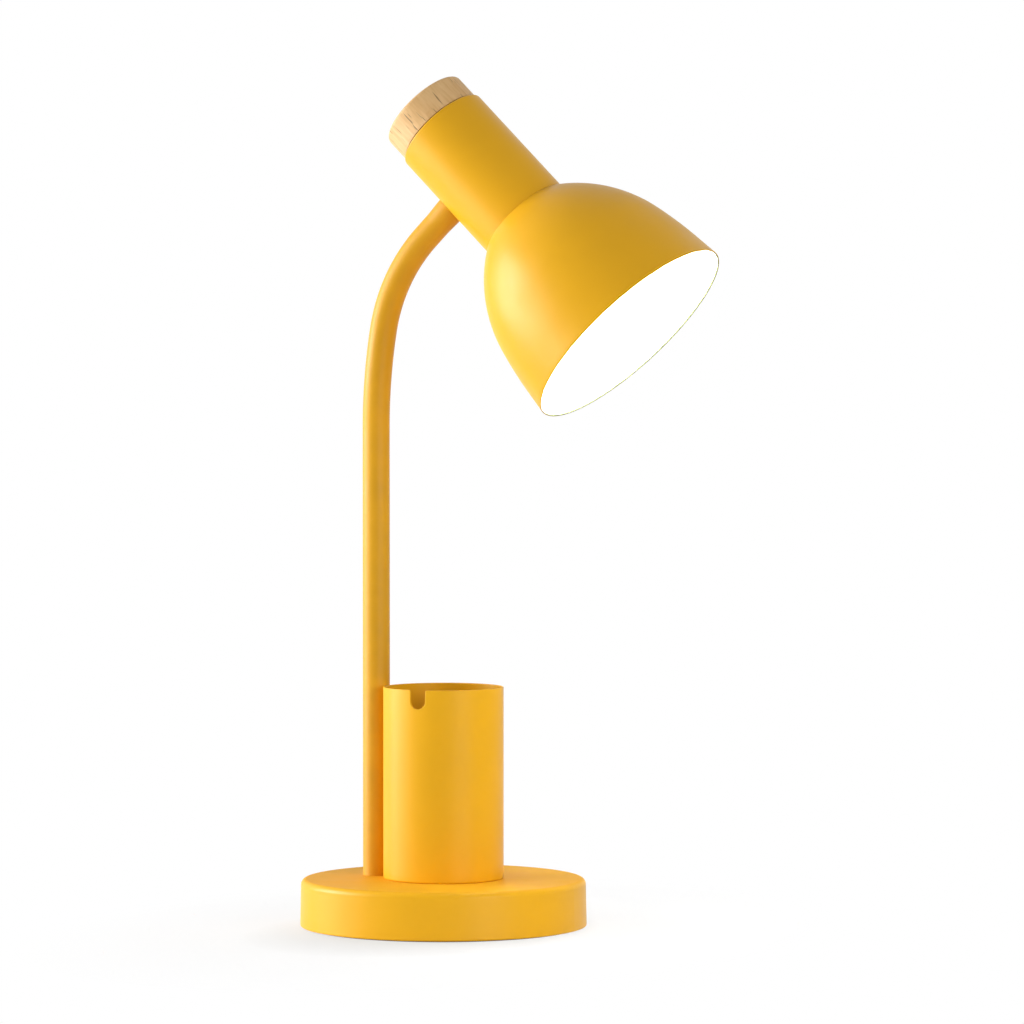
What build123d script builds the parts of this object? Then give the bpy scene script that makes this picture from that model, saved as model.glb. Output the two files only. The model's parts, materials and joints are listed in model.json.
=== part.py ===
from build123d import *
import os
from math import acos, cos, degrees, radians, sin, sqrt, tan

# Desk lamp with a pen cup: a spun bell shade on a sleeved gooseneck over a round weighted base.
# The origin is the middle of the foot pad's underside, +Z is up and +X points to the shade.
# Lengths are in millimetres and angles in degrees.
# The neck is cut into links at hinges, because it bends. Each link ends in a ball centred on the
# next hinge, and the link after it starts in a slightly larger hollow round the same centre.

# Base
base_diameter = 150.0
base_height = 25.3
base_draft = 1.2
base_top_round = 3.0
base_lower_round = 0.8
base_wall = 2.0
shell_lift = 0.6
foot_pad_inset = 3.5
foot_pad_thickness = 2.0
plate_thickness = 1.5
plate_clearance = 0.4
weight_to_wall = 7.0
weight_thickness = 8.0
weight_chamfer = 1.0
boss_count = 4
boss_diameter = 10.0
boss_inset = 14.0
boss_start_angle = 45.0
plate_screw_diameter = 4.0
plate_screw_head_diameter = 6.8
plate_screw_length = 9.0
screw_clearance = 0.1
countersink_angle = 90.0
countersink_depth_spare = 0.1

# Cord gland in the rear wall, and the terminal block behind it
gland_height = 9.4
gland_bore_diameter = 7.2
gland_body_diameter = 9.6
gland_outer_flange_diameter = 12.4
gland_inner_flange_diameter = 11.2
gland_outer_flange_thickness = 2.0
gland_inner_flange_thickness = 1.5
gland_clearance = 0.1
block_to_gland = 5.0
block_length = 14.0
block_width = 18.0
block_height = 7.4
block_round = 1.0
block_pole_pitch = 9.0
block_screw_pitch = 7.0
block_screw_hole_diameter = 3.2
block_screw_hole_depth = 4.0

# Pen cup
cup_diameter = 63.0
cup_height = 100.3
cup_wall = 1.0
cup_floor = 1.2
cup_lower_round = 1.0
cup_notch_width = 8.5
cup_notch_depth = 10.0
cup_screw_count = 3
cup_screw_circle_diameter = 30.0
cup_screw_start_angle = 90.0
cup_screw_diameter = 4.0
cup_screw_head_diameter = 7.0
cup_screw_head_height = 2.2
cup_screw_length = 8.0
cup_to_post_gap = 0.4

# Neck: its centre line rises, leans in a wide bend, bows in a tighter one and runs into the housing
sleeve_diameter = 14.2
core_diameter = 9.8
core_bore_diameter = 5.0
lead_diameter = 4.0
sleeve_clearance = 0.1
neck_rise = 261.0
lower_bend_radius = 306.0
lower_bend_angle = 9.7
upper_bend_radius = 89.0
head_tilt = 45.0
neck_reach = 46.1

# Flexible stretch: hinges at even steps down from the housing, bending forwards and sideways in turn
hinge_count = 8
hinge_spacing = 30.0
last_hinge_to_housing = 26.0
hinge_swing = 12.0
ball_radius = 8.6
ball_gap = 0.35
lead_gap = 0.5
swing_clearance = 0.7

# Post: the stiff foot of the neck, clamped through shell and weight
post_clearance = 0.2
post_end_height = 9.9
post_shoulder_diameter = 12.6
post_shoulder_height = 2.0
washer_diameter = 20.0
washer_thickness = 1.0
nut_across_flats = 14.0
nut_thickness = 3.2
lead_run_height = 6.0
lead_bend_radius = 4.5

# Shade: a straight rim, a shallow flank arc and a tight crown arc up to the housing
rim_diameter = 120.8
rim_angle = 6.4
rim_length = 13.5
flank_radius = 218.0
flank_end_angle = 13.2
crown_radius = 78.3
shade_wall = 0.8

# Lamp housing behind the shade
housing_diameter = 51.4
housing_wall = 1.0
housing_length = 67.3
housing_flange = 1.0
housing_end_round = 0.9
neck_depth_in_housing = 34.5

# Lampholder, its ring and the bulb
holder_thread_diameter = 40.2
holder_thread_clearance = 0.1
holder_skirt_length = 14.0
holder_shoulder_diameter = 45.0
holder_shoulder_thickness = 3.0
holder_body_diameter = 36.0
holder_body_length = 19.0
holder_body_round = 3.0
holder_cavity_diameter = 28.0
ring_diameter = 49.2
ring_thickness = 5.0
ring_chamfer = 0.8
screw_shell_diameter = 27.8
screw_shell_wall = 0.4
screw_shell_inset = 2.0
holder_contact_diameter = 9.0
holder_contact_thickness = 1.4
holder_floor = 5.0
contact_gap = 0.1
bulb_cap_diameter = 26.6
bulb_cap_length = 23.0
bulb_contact_diameter = 9.6
bulb_contact_thickness = 1.8
bulb_neck_diameter = 26.0
bulb_neck_length = 5.5
bulb_cap_chamfer = 1.0
bulb_body_length = 23.5
bulb_diameter = 45.0
bulb_globe_wall = 1.0
bulb_globe_reach = 7.5

# Rotary switch and its wooden knob
switch_plate_thickness = 1.5
switch_plate_inset = 2.0
switch_plate_clearance = 0.2
switch_body_diameter = 17.0
switch_body_length = 11.5
switch_bush_diameter = 7.0
switch_bush_length = 5.0
switch_bush_clearance = 0.1
switch_nut_across_flats = 10.0
switch_nut_thickness = 2.0
shaft_diameter = 6.0
shaft_clearance = 0.05
shaft_inset = 8.0
shaft_length = 22.5
knob_diameter = 48.8
knob_length = 14.9
knob_gap = 0.5
knob_edge_round = 1.6
knob_recess_diameter = 16.0
knob_recess_depth = 5.0
insert_diameter = 11.0
insert_length = 7.0
insert_clearance = 0.02
switch_lead_diameter = 1.6
switch_lead_pitch = 8.0
switch_lead_offset = 5.0
saddle_diameter = 15.0
saddle_thickness = 2.4
saddle_clearance = 0.05
fitting_end_beyond_nut = 0.8
fitting_shoulder_diameter = 12.6
fitting_shoulder_height = 2.0
housing_clearance = 0.1
sleeve_end_overrun = 3.0
sleeve_end_diameter = 15.2
sleeve_end_flare_length = 12.0
head_lead_bend_radius = 6.0

os.makedirs("parts", exist_ok=True)

# Heights worked out from the sizes above
plate_top = foot_pad_thickness + plate_thickness
shell_ceiling = base_height - base_wall
weight_bottom = shell_ceiling - weight_thickness
shell_inner_radius = base_diameter / 2 - base_wall
weight_diameter = 2 * (shell_inner_radius - weight_to_wall)
boss_circle_diameter = weight_diameter - 2 * boss_inset
foot_pad_diameter = base_diameter - 2 * foot_pad_inset
cup_floor_top = base_height + cup_floor
cup_top = base_height + cup_height
neck_offset = cup_diameter / 2 + cup_to_post_gap + sleeve_diameter / 2
core_radius = core_diameter / 2
sleeve_radius = sleeve_diameter / 2
sleeve_bore_radius = core_radius + sleeve_clearance
housing_radius = housing_diameter / 2


def plane_at(height):
    """A level workplane at a height above the table."""
    return Plane.XY.offset(height)


# Neck centre line, drawn in the upright plane of symmetry from the table up
with BuildLine(Plane.XZ) as neck_line:
    rise = Line((-neck_offset, 0), (-neck_offset, neck_rise))
    lean = JernArc(rise @ 1, rise % 1, lower_bend_radius, -lower_bend_angle)
    bow = JernArc(lean @ 1, lean % 1, upper_bend_radius, lower_bend_angle - head_tilt)
    reach = Line(bow @ 1, (bow @ 1) + (bow % 1) * neck_reach)
neck_path = neck_line.wire()
neck_length = neck_path.length
first_hinge = neck_length - housing_radius - last_hinge_to_housing - hinge_spacing * (hinge_count - 1)

# Head frame: its origin is the middle of the shade's mouth, its Z runs up the axis to the knob,
# and its X is square to that, up and forwards
head_up = Vector(-sin(radians(90 - head_tilt)), 0, cos(radians(90 - head_tilt)))
head_front = Vector(head_up.Z, 0, -head_up.X)
rim_drop = rim_length * sin(radians(rim_angle))
rim_rise = rim_length * cos(radians(rim_angle))
flank_drop = flank_radius * (cos(radians(rim_angle)) - cos(radians(flank_end_angle)))
flank_rise = flank_radius * (sin(radians(flank_end_angle)) - sin(radians(rim_angle)))
crown_start_radius = rim_diameter / 2 - rim_drop - flank_drop
crown_centre = crown_start_radius - crown_radius * cos(radians(flank_end_angle))
crown_end_angle = degrees(acos((housing_radius - crown_centre) / crown_radius))
crown_rise = crown_radius * (sin(radians(crown_end_angle)) - sin(radians(flank_end_angle)))
shade_depth = rim_rise + flank_rise + crown_rise
neck_depth = shade_depth + neck_depth_in_housing
mouth_centre = neck_path @ 1 - head_up * neck_depth
head_axis = Axis(mouth_centre, head_up)
head_section = Plane(mouth_centre, x_dir=head_front, z_dir=head_front.cross(head_up))


def depth_plane(depth):
    """A workplane square to the head's axis, at a depth behind the shade's mouth."""
    return Plane(mouth_centre + head_up * depth, x_dir=head_front, z_dir=head_up)


# Depths along the head's axis
holder_seat = shade_depth + housing_flange
housing_end = shade_depth + housing_length
skirt_start = holder_seat - holder_skirt_length
holder_shoulder_top = holder_seat + holder_shoulder_thickness
holder_end = holder_shoulder_top + holder_body_length
cavity_end = holder_end - holder_floor
holder_contact_start = cavity_end - holder_contact_thickness
bulb_contact_end = holder_contact_start - contact_gap
bulb_cap_end = bulb_contact_end - bulb_contact_thickness
bulb_cap_start = bulb_cap_end - bulb_cap_length
bulb_body_start = bulb_cap_start - bulb_body_length
bulb_centre_depth = bulb_body_start - bulb_globe_reach
globe_edge_radius = sqrt((bulb_diameter / 2) ** 2 - bulb_globe_reach**2)
plate_back = housing_end - switch_plate_inset
plate_front = plate_back - switch_plate_thickness
switch_body_start = plate_front - switch_body_length
bush_end = plate_front + switch_bush_length
shaft_start = plate_front - shaft_inset
knob_start = housing_end + knob_gap
knob_end = knob_start + knob_length
insert_start = knob_start + knob_recess_depth

# Base shell: a pressed cover, hollow from below, with its edges rounded
with BuildPart() as base_shell:
    with BuildSketch(plane_at(shell_lift)):
        Circle(base_diameter / 2)
    extrude(amount=base_height - shell_lift, taper=base_draft)
    fillet(base_shell.edges().group_by(Axis.Z)[-1], base_top_round)
    offset(amount=-base_wall, openings=base_shell.faces().sort_by(Axis.Z)[0])
    lower_edges = base_shell.edges().filter_by(GeomType.CIRCLE).group_by(Axis.Z)[0]
    fillet(lower_edges.sort_by(SortBy.RADIUS)[-1], base_lower_round)
    with Locations((-neck_offset, 0, base_height)):
        Hole(core_radius + post_clearance, depth=base_wall)
    with BuildSketch(plane_at(base_height)):
        with PolarLocations(cup_screw_circle_diameter / 2, cup_screw_count, cup_screw_start_angle):
            Circle(cup_screw_diameter / 2 + screw_clearance)
    extrude(amount=-base_wall, mode=Mode.SUBTRACT)
    with BuildSketch(Plane.YZ.offset(-base_diameter / 2)):
        with Locations((0, gland_height)):
            Circle(gland_body_diameter / 2 + gland_clearance)
    extrude(amount=2 * base_wall, mode=Mode.SUBTRACT)
base_shell.part.label = "base_shell"
export_step(base_shell.part, "parts/base_shell.step")

# Cast iron weight, hung under the shell's top, with bosses that carry the bottom plate
with BuildPart() as base_weight:
    with BuildSketch(plane_at(weight_bottom)):
        Circle(weight_diameter / 2)
    extrude(amount=weight_thickness)
    chamfer(base_weight.edges().group_by(Axis.Z)[-1], weight_chamfer)
    with BuildSketch(plane_at(plate_top)):
        with PolarLocations(boss_circle_diameter / 2, boss_count, boss_start_angle):
            Circle(boss_diameter / 2)
    extrude(amount=weight_bottom - plate_top)
    with BuildSketch(plane_at(plate_top)):
        with PolarLocations(boss_circle_diameter / 2, boss_count, boss_start_angle):
            Circle(plate_screw_diameter / 2 + screw_clearance)
    extrude(amount=plate_screw_length, mode=Mode.SUBTRACT)
    with BuildSketch(plane_at(weight_bottom)):
        with Locations((-neck_offset, 0)):
            Circle(core_radius + post_clearance)
        with PolarLocations(cup_screw_circle_diameter / 2, cup_screw_count, cup_screw_start_angle):
            Circle(cup_screw_diameter / 2 + screw_clearance)
    extrude(amount=weight_thickness, mode=Mode.SUBTRACT)
base_weight.part.label = "base_weight"
export_step(base_weight.part, "parts/base_weight.step")

# Bottom plate with countersunk holes
with BuildPart() as base_plate:
    with BuildSketch(plane_at(foot_pad_thickness)):
        Circle(shell_inner_radius - plate_clearance)
    extrude(amount=plate_thickness)
    with Locations(Plane(origin=(0, 0, foot_pad_thickness), x_dir=(1, 0, 0), z_dir=(0, 0, -1))):
        with PolarLocations(boss_circle_diameter / 2, boss_count, boss_start_angle):
            CounterSinkHole(
                radius=plate_screw_diameter / 2 + screw_clearance,
                counter_sink_radius=plate_screw_head_diameter / 2 + screw_clearance,
                counter_sink_angle=countersink_angle,
            )
base_plate.part.label = "base_plate"
export_step(base_plate.part, "parts/base_plate.step")

# Four countersunk screws, flush with the plate's underside
head_cone_height = (plate_screw_head_diameter - plate_screw_diameter) / 2
with BuildPart() as base_screws:
    with BuildSketch(plane_at(foot_pad_thickness)):
        with PolarLocations(boss_circle_diameter / 2, boss_count, boss_start_angle):
            Circle(plate_screw_diameter / 2)
    extrude(amount=plate_screw_length)
    with PolarLocations(boss_circle_diameter / 2, boss_count, boss_start_angle):
        with Locations((0, 0, foot_pad_thickness + countersink_depth_spare)):
            Cone(
                plate_screw_head_diameter / 2,
                plate_screw_diameter / 2,
                head_cone_height,
                align=(Align.CENTER, Align.CENTER, Align.MIN),
            )
base_screws.part.label = "base_screws"
export_step(base_screws.part, "parts/base_screws.step")

# Foot pad
with BuildPart() as foot_pad:
    with BuildSketch(Plane.XY):
        Circle(foot_pad_diameter / 2)
    extrude(amount=foot_pad_thickness)
foot_pad.part.label = "foot_pad"
export_step(foot_pad.part, "parts/foot_pad.step")

# Cord gland: a bush in the rear wall, held by an outer and an inner flange
gland_wall_radius = base_diameter / 2 - (gland_height - shell_lift) * sin(radians(base_draft))
gland_outer_face = -base_diameter / 2
gland_inner_face = -sqrt((gland_wall_radius - base_wall) ** 2 - (gland_inner_flange_diameter / 2) ** 2)
gland_end = gland_inner_face + gland_clearance + gland_inner_flange_thickness
with BuildPart() as cord_gland:
    with BuildSketch(Plane.YZ.offset(gland_outer_face)):
        with Locations((0, gland_height)):
            Circle(gland_body_diameter / 2)
    extrude(amount=gland_end - gland_outer_face)
    with BuildSketch(Plane.YZ.offset(gland_outer_face)):
        with Locations((0, gland_height)):
            Circle(gland_outer_flange_diameter / 2)
    extrude(amount=-gland_outer_flange_thickness)
    with BuildSketch(Plane.YZ.offset(gland_end)):
        with Locations((0, gland_height)):
            Circle(gland_inner_flange_diameter / 2)
    extrude(amount=-gland_inner_flange_thickness)
    fillet(cord_gland.edges().group_by(Axis.X)[0], gland_outer_flange_thickness / 2)
    with BuildSketch(Plane.YZ.offset(gland_end)):
        with Locations((0, gland_height)):
            Circle(gland_bore_diameter / 2)
    extrude(amount=gland_outer_face - gland_outer_flange_thickness - gland_end, mode=Mode.SUBTRACT)
cord_gland.part.label = "cord_gland"
export_step(cord_gland.part, "parts/cord_gland.step")

# Hinges of the neck: planes square to its centre line, at even steps along it
hinge_planes = []
for step in range(hinge_count):
    distance = first_hinge + hinge_spacing * step
    centre = neck_path.position_at(distance, PositionMode.LENGTH)
    along = neck_path.tangent_at(distance, PositionMode.LENGTH)
    hinge_planes.append(Plane(centre, x_dir=(0, 1, 0), z_dir=along))
lead_radius = lead_diameter / 2
core_bore_radius = core_bore_diameter / 2
flare_radius = lead_radius / cos(radians(hinge_swing)) + ball_radius * tan(radians(hinge_swing))
flare_radius += swing_clearance


def hinge_distance(hinge):
    """How far along the neck's centre line a hinge lies."""
    return first_hinge + hinge_spacing * hinge


def beyond_ball(hinge):
    """What a link loses beyond a hinge: all that lies outside its ball, and a flare for the swinging lead."""
    with BuildPart(hinge_planes[hinge]) as beyond:
        Cylinder(ball_radius, 2 * ball_radius, align=(Align.CENTER, Align.CENTER, Align.MIN))
        Sphere(ball_radius, mode=Mode.SUBTRACT)
        Cone(
            core_bore_radius,
            flare_radius,
            ball_radius,
            align=(Align.CENTER, Align.CENTER, Align.MIN),
        )
    return beyond.part


ball_cutters = [beyond_ball(hinge) for hinge in range(hinge_count)]


def neck_stretch(start, end, radius, bore=0.0, hollow=None, ball=None):
    """A rod or tube along the neck's centre line, with a hollow round one hinge and a ball at another."""
    with BuildPart() as stretch:
        with BuildLine():
            add(neck_path.trim(start / neck_length, end / neck_length))
        foot = neck_path.position_at(start, PositionMode.LENGTH)
        along = neck_path.tangent_at(start, PositionMode.LENGTH)
        with BuildSketch(Plane(foot, x_dir=(0, 1, 0), z_dir=along)):
            Circle(radius)
            if bore:
                Circle(bore, mode=Mode.SUBTRACT)
        sweep()
        if hollow is not None:
            with Locations(hinge_planes[hollow].location):
                Sphere(ball_radius + ball_gap, mode=Mode.SUBTRACT)
        if ball is not None:
            add(ball_cutters[ball], mode=Mode.SUBTRACT)
    return stretch.part


# Post tube: the stiff foot of the neck, whose shoulder sits on the shell
with BuildPart() as post_tube:
    add(neck_stretch(post_end_height, first_hinge + ball_radius, core_radius, core_bore_radius, ball=0))
    with BuildSketch(plane_at(base_height)):
        with Locations((-neck_offset, 0)):
            Circle(post_shoulder_diameter / 2)
            Circle(core_bore_radius, mode=Mode.SUBTRACT)
    extrude(amount=post_shoulder_height)
post_tube.part.label = "post_tube"
export_step(post_tube.part, "parts/post_tube.step")

# Post sleeve: covers the tube and its shoulder
with BuildPart() as post_sleeve:
    add(neck_stretch(base_height, first_hinge + ball_radius, sleeve_radius, sleeve_bore_radius, ball=0))
    with BuildSketch(plane_at(base_height)):
        with Locations((-neck_offset, 0)):
            Circle(post_shoulder_diameter / 2 + sleeve_clearance)
    extrude(amount=post_shoulder_height + sleeve_clearance, mode=Mode.SUBTRACT)
post_sleeve.part.label = "post_sleeve"
export_step(post_sleeve.part, "parts/post_sleeve.step")

# Washer and nut under the weight
with BuildPart() as post_washer:
    with BuildSketch(plane_at(weight_bottom)):
        with Locations((-neck_offset, 0)):
            Circle(washer_diameter / 2)
            Circle(core_radius + screw_clearance, mode=Mode.SUBTRACT)
    extrude(amount=-washer_thickness)
post_washer.part.label = "post_washer"
export_step(post_washer.part, "parts/post_washer.step")

with BuildPart() as post_nut:
    with BuildSketch(plane_at(weight_bottom - washer_thickness)):
        with Locations((-neck_offset, 0)):
            RegularPolygon(nut_across_flats / 2, side_count=6, major_radius=False)
            Circle(core_radius + screw_clearance, mode=Mode.SUBTRACT)
    extrude(amount=-nut_thickness)
post_nut.part.label = "post_nut"
export_step(post_nut.part, "parts/post_nut.step")

# Terminal block on the bottom plate, in line with the gland and the post
lead_bend_start = -neck_offset - lead_bend_radius
block_end = gland_end + block_to_gland + block_length
with BuildPart() as terminal_block:
    with BuildSketch(plane_at(plate_top)):
        with Locations((block_end - block_length / 2, 0)):
            Rectangle(block_length, block_width)
    extrude(amount=block_height)
    fillet(terminal_block.edges().group_by(Axis.Z)[-1], block_round)
    with BuildSketch(plane_at(plate_top + block_height)):
        with Locations((block_end - block_length / 2, 0)):
            with GridLocations(block_screw_pitch, block_pole_pitch, 2, 2):
                Circle(block_screw_hole_diameter / 2)
    extrude(amount=-block_screw_hole_depth, mode=Mode.SUBTRACT)
terminal_block.part.label = "terminal_block"
export_step(terminal_block.part, "parts/terminal_block.step")

# Lead from the terminal block, round one bend and up the post to the first hinge
with BuildPart() as lead_base:
    with BuildLine(Plane.XZ) as lead_route:
        run = Line((block_end, lead_run_height), (lead_bend_start, lead_run_height))
        bend = JernArc(run @ 1, run % 1, lead_bend_radius, 90)
        Line(bend @ 1, (bend @ 1) + Vector(0, 0, first_hinge - lead_gap - (bend @ 1).Z))
    with BuildSketch(Plane(run @ 0, x_dir=(0, 1, 0), z_dir=run % 0)):
        Circle(lead_radius)
    sweep()
lead_base.part.label = "lead_base"
export_step(lead_base.part, "parts/lead_base.step")

# Links of the gooseneck: wound core, sleeve and the stretch of lead inside, from hinge to hinge
hollow_start = sqrt((ball_radius + ball_gap) ** 2 - sleeve_radius**2) / 2
for link in range(1, hinge_count):
    start = hinge_distance(link - 1)
    end = hinge_distance(link)
    with BuildPart() as neck_core:
        add(neck_stretch(start + hollow_start, end + ball_radius, core_radius, core_bore_radius,
                         hollow=link - 1, ball=link))
    neck_core.part.label = f"neck_core_{link}"
    export_step(neck_core.part, f"parts/neck_core_{link}.step")
    with BuildPart() as neck_sleeve:
        add(neck_stretch(start + hollow_start, end + ball_radius, sleeve_radius, sleeve_bore_radius,
                         hollow=link - 1, ball=link))
    neck_sleeve.part.label = f"neck_sleeve_{link}"
    export_step(neck_sleeve.part, f"parts/neck_sleeve_{link}.step")
    with BuildPart() as neck_lead:
        add(neck_stretch(start + lead_gap, end - lead_gap, lead_radius))
    neck_lead.part.label = f"neck_lead_{link}"
    export_step(neck_lead.part, f"parts/neck_lead_{link}.step")

# Pen cup: a sheet steel can with a rounded foot and a round-bottomed notch in its rim
with BuildPart() as pen_cup:
    with BuildSketch(plane_at(base_height)):
        Circle(cup_diameter / 2)
    extrude(amount=cup_height)
    fillet(pen_cup.edges().group_by(Axis.Z)[0], cup_lower_round)
    with BuildSketch(plane_at(cup_floor_top)):
        Circle(cup_diameter / 2 - cup_wall)
    extrude(amount=cup_height - cup_floor, mode=Mode.SUBTRACT)
    with BuildSketch(Plane.XZ):
        with Locations((0, cup_top - cup_notch_depth + cup_notch_width / 2)):
            Circle(cup_notch_width / 2)
            Rectangle(cup_notch_width, cup_notch_depth, align=(Align.CENTER, Align.MIN))
    extrude(amount=cup_diameter, mode=Mode.SUBTRACT)
    with BuildSketch(plane_at(base_height)):
        with PolarLocations(cup_screw_circle_diameter / 2, cup_screw_count, cup_screw_start_angle):
            Circle(cup_screw_diameter / 2 + screw_clearance)
    extrude(amount=cup_floor, mode=Mode.SUBTRACT)
pen_cup.part.label = "pen_cup"
export_step(pen_cup.part, "parts/pen_cup.step")

# Pan head screws through the cup's floor and the shell into the weight
with BuildPart() as cup_screws:
    with BuildSketch(plane_at(cup_floor_top)):
        with PolarLocations(cup_screw_circle_diameter / 2, cup_screw_count, cup_screw_start_angle):
            Circle(cup_screw_head_diameter / 2)
    extrude(amount=cup_screw_head_height)
    fillet(cup_screws.edges().group_by(Axis.Z)[-1], cup_screw_head_height / 2)
    with BuildSketch(plane_at(cup_floor_top)):
        with PolarLocations(cup_screw_circle_diameter / 2, cup_screw_count, cup_screw_start_angle):
            Circle(cup_screw_diameter / 2)
    extrude(amount=-cup_screw_length)
cup_screws.part.label = "cup_screws"
export_step(cup_screws.part, "parts/cup_screws.step")


def bell_line(inset):
    """The bell's outline from rim to housing, a line and two tangent arcs, moved inwards by an inset."""
    slope = radians(rim_angle)
    rim = PolarLine(
        (rim_diameter / 2 - inset * cos(slope), -inset * sin(slope)), rim_length, 90 + rim_angle
    )
    flank = JernArc(rim @ 1, rim % 1, flank_radius - inset, flank_end_angle - rim_angle)
    crown = JernArc(flank @ 1, flank % 1, crown_radius - inset, crown_end_angle - flank_end_angle)
    return rim, crown


# Shade: one spun sheet, open at the mouth, with a flat back that the lampholder's thread goes through
holder_thread_radius = holder_thread_diameter / 2
holder_hole_radius = holder_thread_radius + holder_thread_clearance
with BuildPart() as shade:
    with BuildSketch(head_section):
        with BuildLine():
            outer_rim, outer_crown = bell_line(0)
            inner_rim, inner_crown = bell_line(shade_wall)
            Line(outer_rim @ 0, inner_rim @ 0)
            Polyline(
                outer_crown @ 1,
                (holder_hole_radius, shade_depth),
                (holder_hole_radius, shade_depth - shade_wall),
                inner_crown @ 1,
            )
        make_face()
    revolve(axis=head_axis)
shade.part.label = "shade"
export_step(shade.part, "parts/shade.step")

# Lamp housing: a tube behind the shade, with a flange at its front and a side hole for the neck
housing_inner_radius = housing_radius - housing_wall


def entry_plane(distance):
    """A workplane square to the neck's last run, at a distance from the head's axis."""
    return Plane(
        mouth_centre + head_up * neck_depth - head_front * distance,
        x_dir=head_up,
        z_dir=head_front,
    )


with BuildPart() as lamp_housing:
    with BuildSketch(head_section):
        with BuildLine():
            Polyline(
                (holder_hole_radius, shade_depth),
                (housing_radius, shade_depth),
                (housing_radius, housing_end),
                (housing_inner_radius, housing_end),
                (housing_inner_radius, holder_seat),
                (holder_hole_radius, holder_seat),
                close=True,
            )
        make_face()
    revolve(axis=head_axis)
    end_edges = lamp_housing.edges().filter_by(GeomType.CIRCLE).group_by(head_axis)[-1]
    fillet(end_edges.sort_by(SortBy.RADIUS)[-1], housing_end_round)
    with BuildSketch(entry_plane(0)):
        Circle(core_radius + housing_clearance)
    extrude(amount=-housing_diameter, mode=Mode.SUBTRACT)
lamp_housing.part.label = "lamp_housing"
export_step(lamp_housing.part, "parts/lamp_housing.step")

# Neck fitting: the upper end of the core, through the housing's wall, with a shoulder outside it
saddle_face = housing_inner_radius - saddle_clearance - saddle_thickness
neck_nut_face = saddle_face - nut_thickness
fitting_end = neck_nut_face - fitting_end_beyond_nut
last_hinge = hinge_count - 1
head_start = hinge_distance(last_hinge) + hollow_start
with BuildPart() as neck_fitting:
    add(neck_stretch(head_start, neck_length - fitting_end, core_radius, core_bore_radius, hollow=last_hinge))
    with BuildSketch(entry_plane(housing_radius + housing_clearance)):
        Circle(fitting_shoulder_diameter / 2)
        Circle(core_bore_radius, mode=Mode.SUBTRACT)
    extrude(amount=-fitting_shoulder_height)
neck_fitting.part.label = "neck_fitting"
export_step(neck_fitting.part, "parts/neck_fitting.step")

# Sleeve end: the last stretch of sleeve, slightly flared where it is pressed on the housing
flare_start = housing_radius + sleeve_end_flare_length
with BuildPart() as neck_sleeve_end:
    add(neck_stretch(head_start, neck_length - flare_start, sleeve_radius, hollow=last_hinge))
    with BuildSketch(entry_plane(flare_start)):
        Circle(sleeve_radius)
    with BuildSketch(entry_plane(housing_radius - sleeve_end_overrun)):
        Circle(sleeve_end_diameter / 2)
    loft()
    add(neck_stretch(head_start, neck_length, sleeve_bore_radius), mode=Mode.SUBTRACT)
    with BuildSketch(entry_plane(0)):
        Circle(fitting_shoulder_diameter / 2 + sleeve_clearance)
    extrude(
        amount=-(housing_radius + housing_clearance + fitting_shoulder_height + sleeve_clearance),
        mode=Mode.SUBTRACT,
    )
    with Locations(depth_plane(neck_depth).location):
        Cylinder(housing_radius + housing_clearance, housing_length, mode=Mode.SUBTRACT)
neck_sleeve_end.part.label = "neck_sleeve_end"
export_step(neck_sleeve_end.part, "parts/neck_sleeve_end.step")

# Saddle washer and nut that hold the fitting from inside the housing
with BuildPart() as neck_saddle:
    with BuildSketch(entry_plane(saddle_face)):
        Circle(saddle_diameter / 2)
        Circle(core_radius + screw_clearance, mode=Mode.SUBTRACT)
    extrude(amount=-saddle_thickness)
    with Locations(depth_plane(neck_depth).location):
        Cylinder(housing_inner_radius - saddle_clearance, housing_length, mode=Mode.INTERSECT)
neck_saddle.part.label = "neck_saddle"
export_step(neck_saddle.part, "parts/neck_saddle.step")

with BuildPart() as neck_nut:
    with BuildSketch(entry_plane(saddle_face)):
        RegularPolygon(nut_across_flats / 2, side_count=6, major_radius=False)
        Circle(core_radius + screw_clearance, mode=Mode.SUBTRACT)
    extrude(amount=nut_thickness)
neck_nut.part.label = "neck_nut"
export_step(neck_nut.part, "parts/neck_nut.step")

# Lampholder: a threaded skirt through shade and housing, a shoulder behind them and a closed body
with BuildPart() as lampholder:
    with BuildSketch(head_section):
        with BuildLine():
            Polyline(
                (0, cavity_end),
                (holder_cavity_diameter / 2, cavity_end),
                (holder_cavity_diameter / 2, skirt_start),
                (holder_thread_radius, skirt_start),
                (holder_thread_radius, holder_seat),
                (holder_shoulder_diameter / 2, holder_seat),
                (holder_shoulder_diameter / 2, holder_shoulder_top),
                (holder_body_diameter / 2, holder_shoulder_top),
                (holder_body_diameter / 2, holder_end),
                (0, holder_end),
                close=True,
            )
        make_face()
    revolve(axis=head_axis)
    fillet(lampholder.edges().group_by(head_axis)[-1], holder_body_round)
lampholder.part.label = "lampholder"
export_step(lampholder.part, "parts/lampholder.step")

# Shade ring: clamps the shade and the housing against the lampholder's shoulder
with BuildPart() as shade_ring:
    with BuildSketch(depth_plane(shade_depth - shade_wall)):
        Circle(ring_diameter / 2)
        Circle(holder_hole_radius, mode=Mode.SUBTRACT)
    extrude(amount=-ring_thickness)
    front_edges = shade_ring.edges().group_by(head_axis)[0]
    chamfer(front_edges.sort_by(SortBy.RADIUS)[-1], ring_chamfer)
shade_ring.part.label = "shade_ring"
export_step(shade_ring.part, "parts/shade_ring.step")

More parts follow.
